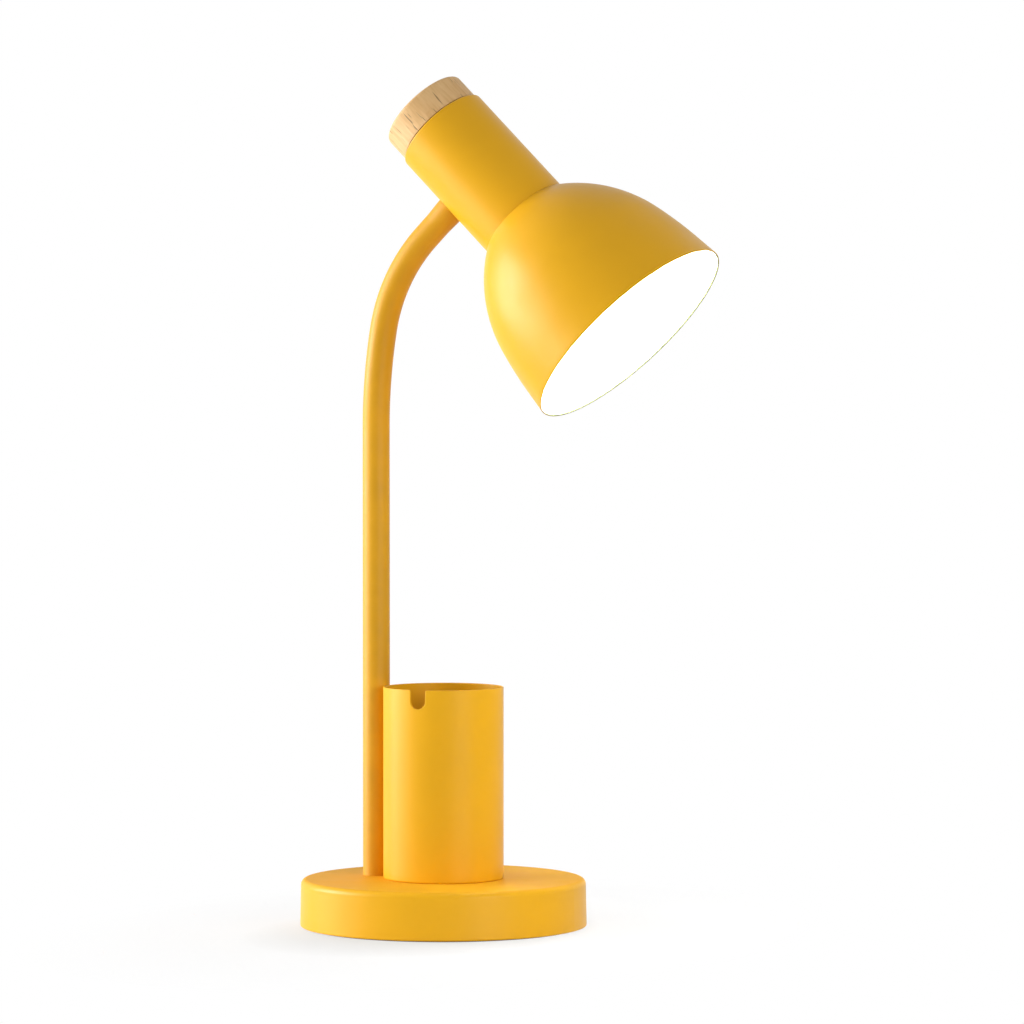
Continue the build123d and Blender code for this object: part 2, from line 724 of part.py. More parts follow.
# Screw shell and contact inside the lampholder
with BuildPart() as screw_shell:
    with BuildSketch(depth_plane(skirt_start + screw_shell_inset)):
        Circle(screw_shell_diameter / 2)
        Circle(screw_shell_diameter / 2 - screw_shell_wall, mode=Mode.SUBTRACT)
    extrude(amount=cavity_end - skirt_start - screw_shell_inset)
screw_shell.part.label = "screw_shell"
export_step(screw_shell.part, "parts/screw_shell.step")

with BuildPart() as holder_contact:
    with BuildSketch(depth_plane(cavity_end)):
        Circle(holder_contact_diameter / 2)
    extrude(amount=-holder_contact_thickness)
holder_contact.part.label = "holder_contact"
export_step(holder_contact.part, "parts/holder_contact.step")

# Bulb: tip contact, screw cap, body and opal globe
with BuildPart() as bulb_contact:
    with BuildSketch(depth_plane(bulb_cap_end)):
        Circle(bulb_contact_diameter / 2)
    extrude(amount=bulb_contact_thickness)
bulb_contact.part.label = "bulb_contact"
export_step(bulb_contact.part, "parts/bulb_contact.step")

with BuildPart() as bulb_cap:
    with BuildSketch(depth_plane(bulb_cap_start)):
        Circle(bulb_cap_diameter / 2)
    extrude(amount=bulb_cap_length)
    chamfer(bulb_cap.edges().group_by(head_axis)[-1], bulb_cap_chamfer)
bulb_cap.part.label = "bulb_cap"
export_step(bulb_cap.part, "parts/bulb_cap.step")

with BuildPart() as bulb_body:
    with BuildSketch(head_section):
        with BuildLine():
            Polyline(
                (0, bulb_body_start),
                (globe_edge_radius, bulb_body_start),
                (bulb_neck_diameter / 2, bulb_cap_start - bulb_neck_length),
                (bulb_neck_diameter / 2, bulb_cap_start),
                (0, bulb_cap_start),
                close=True,
            )
        make_face()
    revolve(axis=head_axis)
bulb_body.part.label = "bulb_body"
export_step(bulb_body.part, "parts/bulb_body.step")

with BuildPart(depth_plane(bulb_centre_depth)) as bulb_globe:
    Sphere(bulb_diameter / 2)
    Sphere(bulb_diameter / 2 - bulb_globe_wall, mode=Mode.SUBTRACT)
    with Locations((0, 0, bulb_globe_reach)):
        Cylinder(
            bulb_diameter,
            bulb_diameter,
            align=(Align.CENTER, Align.CENTER, Align.MIN),
            mode=Mode.SUBTRACT,
        )
bulb_globe.part.label = "bulb_globe"
export_step(bulb_globe.part, "parts/bulb_globe.step")

# Lead in the head: out of the last hinge, through the fitting, round a bend and down to the lampholder
lead_start = hinge_distance(last_hinge) + lead_gap
lead_turned = entry_plane(fitting_end - head_lead_bend_radius).origin - head_up * head_lead_bend_radius
lead_landing = lead_turned - head_up * (neck_depth - head_lead_bend_radius - holder_end)
with BuildPart() as lead_head:
    with BuildLine():
        add(neck_path.trim(lead_start / neck_length, (neck_length - fitting_end) / neck_length))
        TangentArc(entry_plane(fitting_end).origin, lead_turned, tangent=head_front)
        Line(lead_turned, lead_landing)
    lead_foot = neck_path.position_at(lead_start, PositionMode.LENGTH)
    lead_along = neck_path.tangent_at(lead_start, PositionMode.LENGTH)
    with BuildSketch(Plane(lead_foot, x_dir=(0, 1, 0), z_dir=lead_along)):
        Circle(lead_radius)
    sweep()
lead_head.part.label = "lead_head"
export_step(lead_head.part, "parts/lead_head.step")

# Switch plate near the housing's open end
shaft_radius = shaft_diameter / 2
with BuildPart() as switch_plate:
    with BuildSketch(depth_plane(plate_front)):
        Circle(housing_inner_radius - switch_plate_clearance)
        Circle(switch_bush_diameter / 2 + switch_bush_clearance, mode=Mode.SUBTRACT)
    extrude(amount=switch_plate_thickness)
switch_plate.part.label = "switch_plate"
export_step(switch_plate.part, "parts/switch_plate.step")

# Switch body with its threaded bush, bored for the shaft
with BuildPart() as switch_body:
    with BuildSketch(depth_plane(switch_body_start)):
        Circle(switch_body_diameter / 2)
    extrude(amount=switch_body_length)
    with BuildSketch(depth_plane(plate_front)):
        Circle(switch_bush_diameter / 2)
    extrude(amount=switch_bush_length)
    with BuildSketch(depth_plane(shaft_start - shaft_clearance)):
        Circle(shaft_radius + shaft_clearance)
    extrude(amount=bush_end - shaft_start + 2 * shaft_clearance, mode=Mode.SUBTRACT)
switch_body.part.label = "switch_body"
export_step(switch_body.part, "parts/switch_body.step")

with BuildPart() as switch_nut:
    with BuildSketch(depth_plane(plate_back)):
        RegularPolygon(switch_nut_across_flats / 2, side_count=6, major_radius=False)
        Circle(switch_bush_diameter / 2 + switch_bush_clearance, mode=Mode.SUBTRACT)
    extrude(amount=switch_nut_thickness)
switch_nut.part.label = "switch_nut"
export_step(switch_nut.part, "parts/switch_nut.step")

with BuildPart() as switch_shaft:
    with BuildSketch(depth_plane(shaft_start)):
        Circle(shaft_radius)
    extrude(amount=shaft_length)
switch_shaft.part.label = "switch_shaft"
export_step(switch_shaft.part, "parts/switch_shaft.step")

# Two thin leads from the switch to the lampholder
with BuildPart() as switch_leads:
    with BuildSketch(depth_plane(holder_end)):
        with Locations((switch_lead_offset, 0)):
            with GridLocations(0, switch_lead_pitch, 1, 2):
                Circle(switch_lead_diameter / 2)
    extrude(amount=switch_body_start - holder_end)
switch_leads.part.label = "switch_leads"
export_step(switch_leads.part, "parts/switch_leads.step")

# Wooden knob with a recess over the switch nut, and the brass insert that grips the shaft
insert_radius = insert_diameter / 2
with BuildPart() as knob:
    with BuildSketch(depth_plane(knob_start)):
        Circle(knob_diameter / 2)
    extrude(amount=knob_length)
    fillet(knob.edges().group_by(head_axis)[-1], knob_edge_round)
    with BuildSketch(depth_plane(knob_start)):
        Circle(knob_recess_diameter / 2)
    extrude(amount=knob_recess_depth, mode=Mode.SUBTRACT)
    with BuildSketch(depth_plane(insert_start)):
        Circle(insert_radius + insert_clearance)
    extrude(amount=insert_length + insert_clearance, mode=Mode.SUBTRACT)
knob.part.label = "knob"
export_step(knob.part, "parts/knob.step")

with BuildPart() as knob_insert:
    with BuildSketch(depth_plane(insert_start)):
        Circle(insert_radius)
        Circle(shaft_radius + insert_clearance, mode=Mode.SUBTRACT)
    extrude(amount=insert_length)
knob_insert.part.label = "knob_insert"
export_step(knob_insert.part, "parts/knob_insert.step")

for hinge, plane in enumerate(hinge_planes):
    print("hinge", hinge + 1, "centre", plane.origin, "along", plane.z_dir)
print("mouth centre", mouth_centre, "shade depth", shade_depth, "neck depth", neck_depth)
print("housing end", housing_end, "knob start", knob_start, "knob end", knob_end)
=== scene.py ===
"""Desk lamp with a pen cup: its finished surfaces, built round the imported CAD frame.

The file is laid out as an add-on and run as a script."""

import json
import math

import bpy
import numpy as np
from bpy.props import FloatProperty, FloatVectorProperty, IntProperty, PointerProperty
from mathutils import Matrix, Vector


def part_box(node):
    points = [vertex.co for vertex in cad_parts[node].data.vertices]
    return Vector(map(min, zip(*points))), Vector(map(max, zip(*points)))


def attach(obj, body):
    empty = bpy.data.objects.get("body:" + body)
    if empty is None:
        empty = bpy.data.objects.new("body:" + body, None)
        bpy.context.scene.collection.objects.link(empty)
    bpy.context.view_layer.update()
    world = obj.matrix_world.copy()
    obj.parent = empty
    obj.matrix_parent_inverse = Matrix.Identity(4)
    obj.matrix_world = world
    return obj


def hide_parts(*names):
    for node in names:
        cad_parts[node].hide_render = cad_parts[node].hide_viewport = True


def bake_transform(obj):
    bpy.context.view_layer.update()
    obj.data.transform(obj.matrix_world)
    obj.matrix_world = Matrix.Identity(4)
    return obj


bl_info = {
    "name": "Desk Lamp with Pen Cup",
    "version": (1, 0, 0),
    "blender": (4, 5, 0),
    "location": "View3D > Sidebar > Desk Lamp",
    "description": "Builds the coated, sleeved and wooden surfaces of a desk lamp round its CAD frame",
    "category": "Object",
}

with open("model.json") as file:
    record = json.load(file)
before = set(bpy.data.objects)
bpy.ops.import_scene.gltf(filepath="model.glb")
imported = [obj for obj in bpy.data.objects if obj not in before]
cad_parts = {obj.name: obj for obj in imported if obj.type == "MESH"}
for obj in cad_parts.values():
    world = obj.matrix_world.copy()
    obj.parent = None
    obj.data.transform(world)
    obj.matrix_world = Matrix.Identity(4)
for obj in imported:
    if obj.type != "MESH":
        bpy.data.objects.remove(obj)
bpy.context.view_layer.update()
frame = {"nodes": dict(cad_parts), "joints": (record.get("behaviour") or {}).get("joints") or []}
NODES = frame["nodes"]
JOINTS = {joint["name"]: joint for joint in frame["joints"]}

# Bending joints in their order up the neck, the links between them, and the knob's joint, whose axis is
# the head's axis
NECK_JOINTS = [f"neck_{way}_{turn}" for turn in (1, 2, 3, 4) for way in ("bend", "sway")]
NECK_LINKS = range(1, len(NECK_JOINTS))
KNOB_SEAT = np.array(JOINTS["knob_turn"]["pos_m"], float)
HEAD_UP = np.array(JOINTS["knob_turn"]["axis"], float)
HEAD_UP /= np.linalg.norm(HEAD_UP)
SIDE = np.array([0.0, 1.0, 0.0])
HEAD_FRONT = np.cross(SIDE, HEAD_UP)
FRONT = np.array([1.0, 0.0, 0.0])
UP = np.array([0.0, 0.0, 1.0])

FIT = 0.0001  # Clearance between a piece and the round one that it sits on
SAME_PLACE = 1e-9  # Points that are less than this apart are one point
SLEEVE_STEPS = 72  # Points in each ring of the sleeve

# Where the photograph's camera stands and which way it looks
CAMERA_PLACE = (1.11099, -2.35068, 0.29920)
CAMERA_LOOK = (-0.41458572, 0.90946057, -0.03162514)

# Colour and range of roughness of the metals and plastics, with what sets their texture apart
METALS = {
    "Cast iron": {"colour": (0.16, 0.155, 0.15), "roughness": (0.62, 0.78), "grain": 700.0, "depth": 0.00012,
                  "metallic": 0.6},
    "Zinc plated steel": {"colour": (0.60, 0.60, 0.585), "roughness": (0.30, 0.46)},
    "Fastener steel": {"colour": (0.58, 0.57, 0.54), "roughness": (0.26, 0.40), "grain": 2600.0},
    "Wound steel": {"colour": (0.42, 0.41, 0.39), "roughness": (0.34, 0.50)},
    "Contact brass": {"colour": (0.72, 0.52, 0.24), "roughness": (0.24, 0.38)},
    "Nickel plate": {"colour": (0.66, 0.64, 0.60), "roughness": (0.20, 0.34)},
}
PLASTICS = {
    "Foot foam": {"colour": (0.035, 0.034, 0.033), "roughness": (0.80, 0.92), "texture": 1300.0,
                  "depth": 0.00010},
    "Gland rubber": {"colour": (0.030, 0.030, 0.030), "roughness": (0.50, 0.62), "texture": 2400.0},
    "White thermoplastic": {"colour": (0.78, 0.78, 0.75), "roughness": (0.34, 0.46)},
    "Lead cover": {"colour": (0.045, 0.045, 0.047), "roughness": (0.46, 0.58)},
    "Bulb body": {"colour": (0.84, 0.84, 0.82), "roughness": (0.36, 0.46)},
    "Switch plastic": {"colour": (0.040, 0.040, 0.042), "roughness": (0.40, 0.54)},
}


def node_width(node):
    """How wide a CAD node is from side to side, which is the diameter of a round one."""
    low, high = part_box(node)
    return high.y - low.y


# Sizes, colours and lights that a user may change


def length(name, description, default, least):
    """A property that holds a length in metres"""
    return FloatProperty(name=name, description=description, default=default, min=least,
                         subtype="DISTANCE", unit="LENGTH")


def slope(name, description, degrees):
    """A property that holds an angle, whose default is given in degrees"""
    return FloatProperty(name=name, description=description, default=math.radians(degrees), min=0.0,
                         subtype="ANGLE", unit="ROTATION")


def hue(name, description, default):
    """A property that holds a colour in linear light"""
    return FloatVectorProperty(name=name, description=description, default=default, min=0.0, max=1.0,
                               subtype="COLOR", size=3)


def power(name, description, default):
    """A property that holds a lamp's power in watts"""
    return FloatProperty(name=name, description=description, default=default, min=0.0, unit="POWER")


class NeckSizes(bpy.types.PropertyGroup):
    """The gooseneck's centre line and its sleeve"""

    rise: length("Rise", "Straight rise of the centre line above the table", 0.261, 0.05)
    lower_radius: length("Lower bend radius", "Radius of the wide bend above the rise", 0.306, 0.05)
    lower_angle: slope("Lower bend", "How far the wide bend leans the neck", 9.7)
    upper_radius: length("Upper bend radius", "Radius of the tight bend below the head", 0.089, 0.03)
    tilt: slope("Head tilt", "Lean of the neck where it enters the housing", 45.0)
    reach: length("Reach", "Straight run from the upper bend to the head's axis", 0.0461, 0.0)
    sleeve_diameter: length("Sleeve diameter", "Outside diameter of the silicone sleeve", 0.0142, 0.004)
    sleeve_bore: length("Sleeve bore", "Inside diameter of the sleeve round the wound core", 0.0107, 0.002)
    shoulder_bore: length("Shoulder bore", "Inside diameter over the shoulders at both ends", 0.0128, 0.002)
    shoulder_height: length("Shoulder height", "How far the wider bore reaches at both ends", 0.0021, 0.0005)
    flare_diameter: length("Flare diameter", "Sleeve diameter where it meets the housing", 0.0152, 0.004)
    flare_length: length("Flare length", "Length over which the sleeve widens", 0.012, 0.001)
    bend_reach: length("Bend reach", "Half the length of sleeve that bends at each joint", 0.0149, 0.002)


class HeadSizes(bpy.types.PropertyGroup):
    """The bell shade, the lampholder and the wooden knob"""

    mouth_distance: length("Mouth distance", "From the shade's mouth to the knob's foot", 0.151111, 0.05)
    rim_diameter: length("Rim diameter", "Outside diameter of the shade's mouth", node_width("shade"), 0.05)
    rim_angle: slope("Rim angle", "Slope of the straight rim to the head's axis", 6.4)
    rim_length: length("Rim length", "Length of the straight rim", 0.0135, 0.0)
    flank_radius: length("Flank radius", "Radius of the shallow arc above the rim", 0.218, 0.05)
    flank_angle: slope("Flank end angle", "Slope at which the shallow arc ends", 13.2)
    crown_radius: length("Crown radius", "Radius of the arc up to the housing", 0.0783, 0.03)
    shade_wall: length("Shade wall", "Thickness of the spun sheet", 0.0008, 0.0003)
    housing_diameter: length("Housing diameter", "Outside diameter of the lamp housing", 0.0514, 0.02)
    thread_diameter: length("Thread diameter", "Outside diameter of the lampholder's thread", 0.0402, 0.02)
    thread_length: length("Thread length", "Length of the lampholder's threaded skirt", 0.014, 0.002)
    thread_pitch: length("Thread pitch", "Rise of the lampholder's thread in one turn", 0.0022, 0.0005)
    thread_depth: length("Thread depth", "Depth of the lampholder's thread", 0.0006, 0.0001)
    holder_cavity: length("Holder cavity", "Inside diameter of the lampholder", 0.028, 0.01)
    ring_thickness: length("Ring thickness", "Thickness of the ring that clamps the shade", 0.005, 0.001)
    ring_ribs: IntProperty(name="Ring ribs", description="Grip ribs round the shade ring", default=36, min=6)
    knob_length: length("Knob length", "Thickness of the wooden knob", 0.0149, 0.004)
    knob_edge: length("Knob edge round", "Rounding of the knob's outer edge", 0.0016, 0.0002)
    knob_foot_edge: length("Knob foot round", "Rounding of the knob's edge at the housing", 0.0004, 0.0001)
    recess_diameter: length("Recess diameter", "Recess in the knob over the switch nut", 0.016, 0.004)
    recess_depth: length("Recess depth", "Depth of the recess over the switch nut", 0.005, 0.001)


class CupSizes(bpy.types.PropertyGroup):
    """The pen cup and its screws"""

    wall: length("Cup wall", "Thickness of the cup's sheet steel", 0.001, 0.0004)
    floor: length("Cup floor", "Thickness of the cup's floor", 0.0012, 0.0004)
    foot_round: length("Foot round", "Rounding between the cup's wall and its underside", 0.001, 0.0002)
    edge_round: length("Edge round", "Rounding that the coat gives the cut edges", 0.00038, 0.0001)
    notch_width: length("Notch width", "Width of the notch in the rim", 0.0085, 0.002)
    notch_depth: length("Notch depth", "Depth of the notch in the rim", 0.010, 0.002)
    notch_corner: length("Notch corner round", "Rounding where the notch meets the rim", 0.0009, 0.0002)
    screw_circle: length("Screw circle", "Diameter of the circle of floor screws", 0.030, 0.005)
    screw_head: length("Screw head", "Diameter of a screw's pan head", 0.007, 0.002)
    screw_height: length("Screw head height", "Height of a screw's pan head", 0.0022, 0.0005)
    screw_shank: length("Screw shank", "Diameter of a screw's shank", 0.004, 0.001)


class FinishColours(bpy.types.PropertyGroup):
    """Colours of the finishes, in linear light"""

    coat: hue("Coat", "Yellow powder coat", (0.86, 0.443, 0.011))
    sleeve: hue("Sleeve", "Yellow silicone sleeve", (0.71, 0.355, 0.008))
    enamel: hue("Enamel", "White inside of the shade", (0.86, 0.86, 0.84))
    # Painted shade: the inner half of the shade's rim edge is coloured dark olive, so that it shows as a dark
    # line even where the globe lights it
    seam: hue("Seam", "Edge of the shade where its two coats meet", (0.110, 0.125, 0.045))
    wood: hue("Wood", "Pale ground colour of the knob", (0.88, 0.585, 0.285))
    grain: hue("Grain", "Darker bands of the knob", (0.65, 0.370, 0.135))
    glow: hue("Glow", "Light of the lit globe", (1.0, 0.965, 0.90))


class StudioSettings(bpy.types.PropertyGroup):
    """Lights of the studio and of the lit bulb, and the camera's lens"""

    key: power("Key light", "Power of the broad soft light on the left", 18.6)
    sheen: power("Sheen light", "Power of the light that only shows as sheen", 13.0)
    strip: power("Strip light", "Power of the narrow light in front of the key light", 5.4)
    fill: power("Fill light", "Power of the broad light on the right", 16.3)
    ambient: FloatProperty(name="Ambient", description="Strength of the even light from all round",
                           default=0.30, min=0.0)
    globe: FloatProperty(name="Globe glow", description="Brightness of the lit globe", default=92.0, min=0.0)
    lens: FloatProperty(name="Lens", description="Focal length of the camera in millimetres",
                        default=175.06, min=20.0)


# Surfaces


def mouth_centre(sizes):
    """The middle of the shade's mouth, on the head's axis"""
    return KNOB_SEAT - sizes.mouth_distance * HEAD_UP


def in_scene(name, data):
    """A new object in the scene that shows the data"""
    item = bpy.data.objects.new(name, data)
    bpy.context.scene.collection.objects.link(item)
    return item


def facing(direction):
    """The turn of a camera or a lamp that looks in a direction"""
    return Vector(direction).to_track_quat("-Z", "Y").to_euler()


def rounded(corners, radii, steps=6):
    """A line through corners, each inner corner cut by an arc tangent to both its sides.

    An arc's centre lies on its corner's bisector, radius / sin(half the angle between the sides) away. Its
    points are its first and last spoke, mixed by the sines of the angles to the other one."""
    corners = np.asarray(corners, float)
    inner = corners[1:-1]
    back, ahead = corners[:-2] - inner, corners[2:] - inner
    back /= np.linalg.norm(back, axis=1, keepdims=True)
    ahead /= np.linalg.norm(ahead, axis=1, keepdims=True)
    half = np.arccos(np.clip((back * ahead).sum(1), -1, 1)) / 2
    radius = np.broadcast_to(np.asarray(radii, float), half.shape)
    bisector = (back + ahead) / np.linalg.norm(back + ahead, axis=1, keepdims=True)
    centre = inner + bisector * (radius / np.sin(half))[:, None]
    reach = (radius / np.tan(half))[:, None]
    first = (inner + back * reach - centre)[:, None]
    last = (inner + ahead * reach - centre)[:, None]
    turn = (math.pi - 2 * half)[:, None, None]
    share = np.linspace(0, 1, steps + 1)[None, :, None]
    spokes = (first * np.sin((1 - share) * turn) + last * np.sin(share * turn)) / np.sin(turn)
    arcs = (centre[:, None] + spokes).reshape(-1, corners.shape[1])
    return np.vstack([corners[:1], arcs, corners[-1:]])


def held(line, gap=0.0002, longest=0.004):
    """The line with more points on its long sides: one close to each end, which keeps the shading of a
    rounding off the flat beside it, and even steps between them."""
    runs = []
    for first, last in zip(line[:-1], line[1:]):
        side = np.linalg.norm(last - first)
        shares = np.zeros(1)
        if side > 3 * gap:
            steps = max(2, int(side / longest) + 2)
            shares = np.append(0, np.linspace(gap / side, 1 - gap / side, steps))
        runs.append(first + shares[:, None] * (last - first))
    return np.vstack([*runs, line[-1:]])


def turned(line, seat, axis, across, steps=128, relief=None):
    """A surface of revolution: the line's point (radius, height) at angle a lies at seat + height * axis +
    radius * (cos a * across + sin a * the direction square to both). relief(radius, height, a) is added to
    the radius."""
    angle = np.linspace(0, 2 * math.pi, steps, endpoint=False)
    spokes = np.cos(angle)[:, None] * across + np.sin(angle)[:, None] * np.cross(axis, across)
    radius, height = line[:, :1], line[:, 1:]
    if relief is not None:
        radius = radius + relief(radius, height, angle)
    radius = np.broadcast_to(radius, (len(line), steps))
    return seat + height[:, :, None] * axis + radius[:, :, None] * spokes


def surface(name, grids, loop=False, finish=None, crease=35.0):
    """A mesh object from grids of points, each a stack of closed rings.

    Neighbouring points on neighbouring rings make a quad, and a ring drawn together in one point makes
    triangles. loop joins a grid's last ring to its first. finish gives each band between rings the number
    of its material. If the volume that the quads enclose comes out negative, they are turned round."""
    points, quads, bands, start = [], [], [], 0
    for grid in grids:
        rings, places = grid.shape[:2]
        index = start + np.arange(rings * places).reshape(rings, places)
        pole = np.ptp(grid, axis=1).max(1) < SAME_PLACE
        index[pole] = index[pole, :1]
        if loop:
            index = np.vstack([index, index[:1]])
        near, far = index[:-1], index[1:]
        points.append(grid.reshape(-1, 3))
        quads.append(np.stack([near, np.roll(near, -1, 1), np.roll(far, -1, 1), far], -1).reshape(-1, 4))
        bands.append(np.repeat(np.arange(len(near)), places))
        start += rings * places
    points, quads, bands = np.vstack(points), np.vstack(quads), np.concatenate(bands)
    a, b, c, d = (points[quads[:, k]] for k in range(4))
    if (a * np.cross(b, c)).sum() + (a * np.cross(c, d)).sum() < 0:
        quads = quads[:, ::-1]
    used, quads = np.unique(quads, return_inverse=True)
    quads = quads.reshape(-1, 4)
    doubled = quads == np.roll(quads, -1, axis=1)
    whole = ~doubled.any(1)
    triangles = quads[~whole][~doubled[~whole]].reshape(-1, 3)
    mesh = bpy.data.meshes.new(name)
    mesh.from_pydata(points[used].tolist(), [], quads[whole].tolist() + triangles.tolist())
    if finish is not None:
        number = np.asarray(finish)[np.concatenate([bands[whole], bands[~whole]])]
        mesh.polygons.foreach_set("material_index", number.astype(np.int32))
    mesh.shade_smooth()
    mesh.set_sharp_from_angle(angle=math.radians(crease))
    mesh.update()
    return in_scene(name, mesh)


def neck_line(distance, sizes):
    """Points and directions of the neck's centre line at distances along it.

    The line is a rise, a wide arc, a tight arc and a straight run, each tangent to the next, and each adds
    its own share: an arc from lean a to lean b adds radius * (cos a - cos b) forwards and
    radius * (sin b - sin a) upwards."""
    distance = np.asarray(distance, float)
    lower_length = sizes.lower_radius * sizes.lower_angle
    upper_turn = sizes.tilt - sizes.lower_angle
    past_rise = distance - sizes.rise
    lower = np.clip(past_rise / sizes.lower_radius, 0, sizes.lower_angle)
    upper = sizes.lower_angle + np.clip((past_rise - lower_length) / sizes.upper_radius, 0, upper_turn)
    run = np.clip(past_rise - lower_length - sizes.upper_radius * upper_turn, 0, None)
    forwards = (sizes.lower_radius * (1 - np.cos(lower)) + run * math.sin(sizes.tilt)
                + sizes.upper_radius * (math.cos(sizes.lower_angle) - np.cos(upper)))
    upwards = (np.minimum(distance, sizes.rise) + sizes.lower_radius * np.sin(lower)
               + run * math.cos(sizes.tilt)
               + sizes.upper_radius * (np.sin(upper) - math.sin(sizes.lower_angle)))
    lean = lower + upper - sizes.lower_angle
    foot = JOINTS[NECK_JOINTS[0]]["pos_m"]
    points = np.stack([foot[0] + forwards, np.full_like(lean, foot[1]), upwards], -1)
    return points, np.stack([np.sin(lean), np.zeros_like(lean), np.cos(lean)], -1)


def neck_length(sizes):
    """Length of the neck's centre line from the table to the head's axis."""
    arcs = sizes.lower_radius * sizes.lower_angle + sizes.upper_radius * (sizes.tilt - sizes.lower_angle)
    return sizes.rise + arcs + sizes.reach


def sleeve_stretch(name, start, end, outer, inner, sizes, steps=SLEEVE_STEPS, spacing=0.0012):
    """A stretch of sleeve along the neck: rings up its outside and back down its bore.

    At angle a a ring's point lies radius * (cos a sideways + sin a square to that and to the line) from
    the line. outer and inner give the radii at a distance, and end may be a length for each angle, where
    the sleeve is cut to the shape of the housing."""
    angle = np.linspace(0, 2 * math.pi, steps, endpoint=False)
    end = np.broadcast_to(end, (2, steps))
    rings = max(4, int((end.min() - start) / spacing)) + 1
    share = np.linspace(0, 1, rings)[:, None]
    up = start + share * (end[0] - start)
    down = (start + share * (end[1] - start))[::-1]
    distance = np.vstack([up, down])
    radius = np.vstack([outer(up), inner(down)])
    points, directions = neck_line(distance, sizes)
    spokes = np.cos(angle)[:, None] * SIDE + np.sin(angle)[:, None] * np.cross(directions, SIDE)
    return surface(name, [points + radius[:, :, None] * spokes], loop=True)


def bell_line(sizes, inset, top=None, rim_points=8, flank_points=13, crown_points=44):
    """(radius, height above the mouth) up the bell's section, moved inwards by inset.

    It is a straight rim and two arcs, whose points lie at radius * (cos slope, sin slope) from their
    centres. It ends at the housing's radius, or at the height top."""
    normal = np.array([math.cos(sizes.rim_angle), math.sin(sizes.rim_angle)])
    along = np.array([-normal[1], normal[0]])
    foot = np.array([sizes.rim_diameter / 2, 0.0])
    rim_end = foot + sizes.rim_length * along
    flank_centre = rim_end - sizes.flank_radius * normal
    turn = np.array([math.cos(sizes.flank_angle), math.sin(sizes.flank_angle)])
    crown_centre = flank_centre + (sizes.flank_radius - sizes.crown_radius) * turn
    if top is None:
        last = math.acos((sizes.housing_diameter / 2 - crown_centre[0]) / sizes.crown_radius)
    else:
        last = math.asin((top - crown_centre[1]) / (sizes.crown_radius - inset))
    flank = np.linspace(sizes.rim_angle, sizes.flank_angle, flank_points + 1)[:-1]
    crown = np.linspace(sizes.flank_angle, last, crown_points)
    up_rim = np.linspace(sizes.shade_wall / 2, sizes.rim_length, rim_points + 1)[:-1, None]
    rim = foot - inset * normal + up_rim * along
    flank = flank_centre + (sizes.flank_radius - inset) * np.stack([np.cos(flank), np.sin(flank)], -1)
    crown = crown_centre + (sizes.crown_radius - inset) * np.stack([np.cos(crown), np.sin(crown)], -1)
    return np.vstack([rim, flank, crown])


def bell_grid(sizes, steps=192, edge_steps=8, painted_shade_width=0.0004):
    """The spun shade as a closed section turned about the head's axis.

    It goes up the outside, across the flat back to the lampholder's hole, back along the inside and round the
    rim, whose edge is half a circle. Returns the grid and the number of the finish of each band: 0 outside, 1
    inside, and 2 on the edge's inner half and a strip beside it, which is coloured dark as painted shade."""
    outside = bell_line(sizes, 0.0)
    back = outside[-1, 1]
    hole = sizes.thread_diameter / 2 + FIT
    inside = bell_line(sizes, sizes.shade_wall, back - sizes.shade_wall)
    flat = np.array([[hole, back], [hole, back - sizes.shade_wall]])
    middle = (outside[0] + inside[0]) / 2
    across = outside[0] - middle
    down = np.array([across[1], -across[0]])
    turn = np.linspace(math.pi, 0, edge_steps + 1)[1:-1, None]
    edge = middle + np.cos(turn) * across + np.sin(turn) * down
    seam = inside[0] + painted_shade_width * np.array([-math.sin(sizes.rim_angle), math.cos(sizes.rim_angle)])
    line = np.vstack([outside, flat, inside[:0:-1], seam, inside[0], edge])
    finish = np.zeros(len(line), int)
    hole_end = len(outside) + 1
    painted_shade_start = hole_end + len(inside)
    finish[hole_end:painted_shade_start] = 1
    # Band 2, the rim edge's inner half and a strip beside it, gets the dark colour of painted shade
    finish[painted_shade_start:painted_shade_start + 1 + edge_steps // 2] = 2
    return turned(line, mouth_centre(sizes), HEAD_UP, HEAD_FRONT, steps), finish


def cup_outline(radius, sizes, wide=0.0015, close=0.00035):
    """The cup's rim unrolled flat: (distance round the cup from the notch, height against the rim), with
    its direction into the metal.

    The notch's mouth and its half round bottom are the corners of a line, rounded. Points lie close
    together on the notch and further apart on the rest."""
    around, half_width, depth = math.pi * radius, sizes.notch_width / 2, sizes.notch_depth
    corners = [(-around, 0), (-half_width, 0), (-half_width, -depth), (half_width, -depth), (half_width, 0),
               (around, 0)]
    bottom = half_width * 0.999  # A trace of a straight line stays between the bottom's two arcs
    line = rounded(corners, [sizes.notch_corner, bottom, bottom, sizes.notch_corner], steps=32)
    travelled = np.append(0, np.cumsum(np.linalg.norm(np.diff(line, axis=0), axis=1)))
    total = travelled[-1]
    fine, nudge = np.linspace(0, total, 8001), 0.00005
    notch = np.abs(fine - total / 2) < sizes.notch_depth + sizes.notch_width
    count = np.cumsum(np.where(notch, 1 / close, 1 / wide)) * (fine[1] - fine[0])
    places = np.interp(np.linspace(count[0], count[-1], int(count[-1]) + 1)[:-1], count, fine)

    def at(distance):
        return np.stack([np.interp(distance, travelled, line[:, k]) for k in (0, 1)], -1)

    ahead = at(np.minimum(places + nudge, total)) - at(np.maximum(places - nudge, 0))
    ahead /= np.linalg.norm(ahead, axis=1, keepdims=True)
    return at(places), np.stack([ahead[:, 1], -ahead[:, 0]], -1)


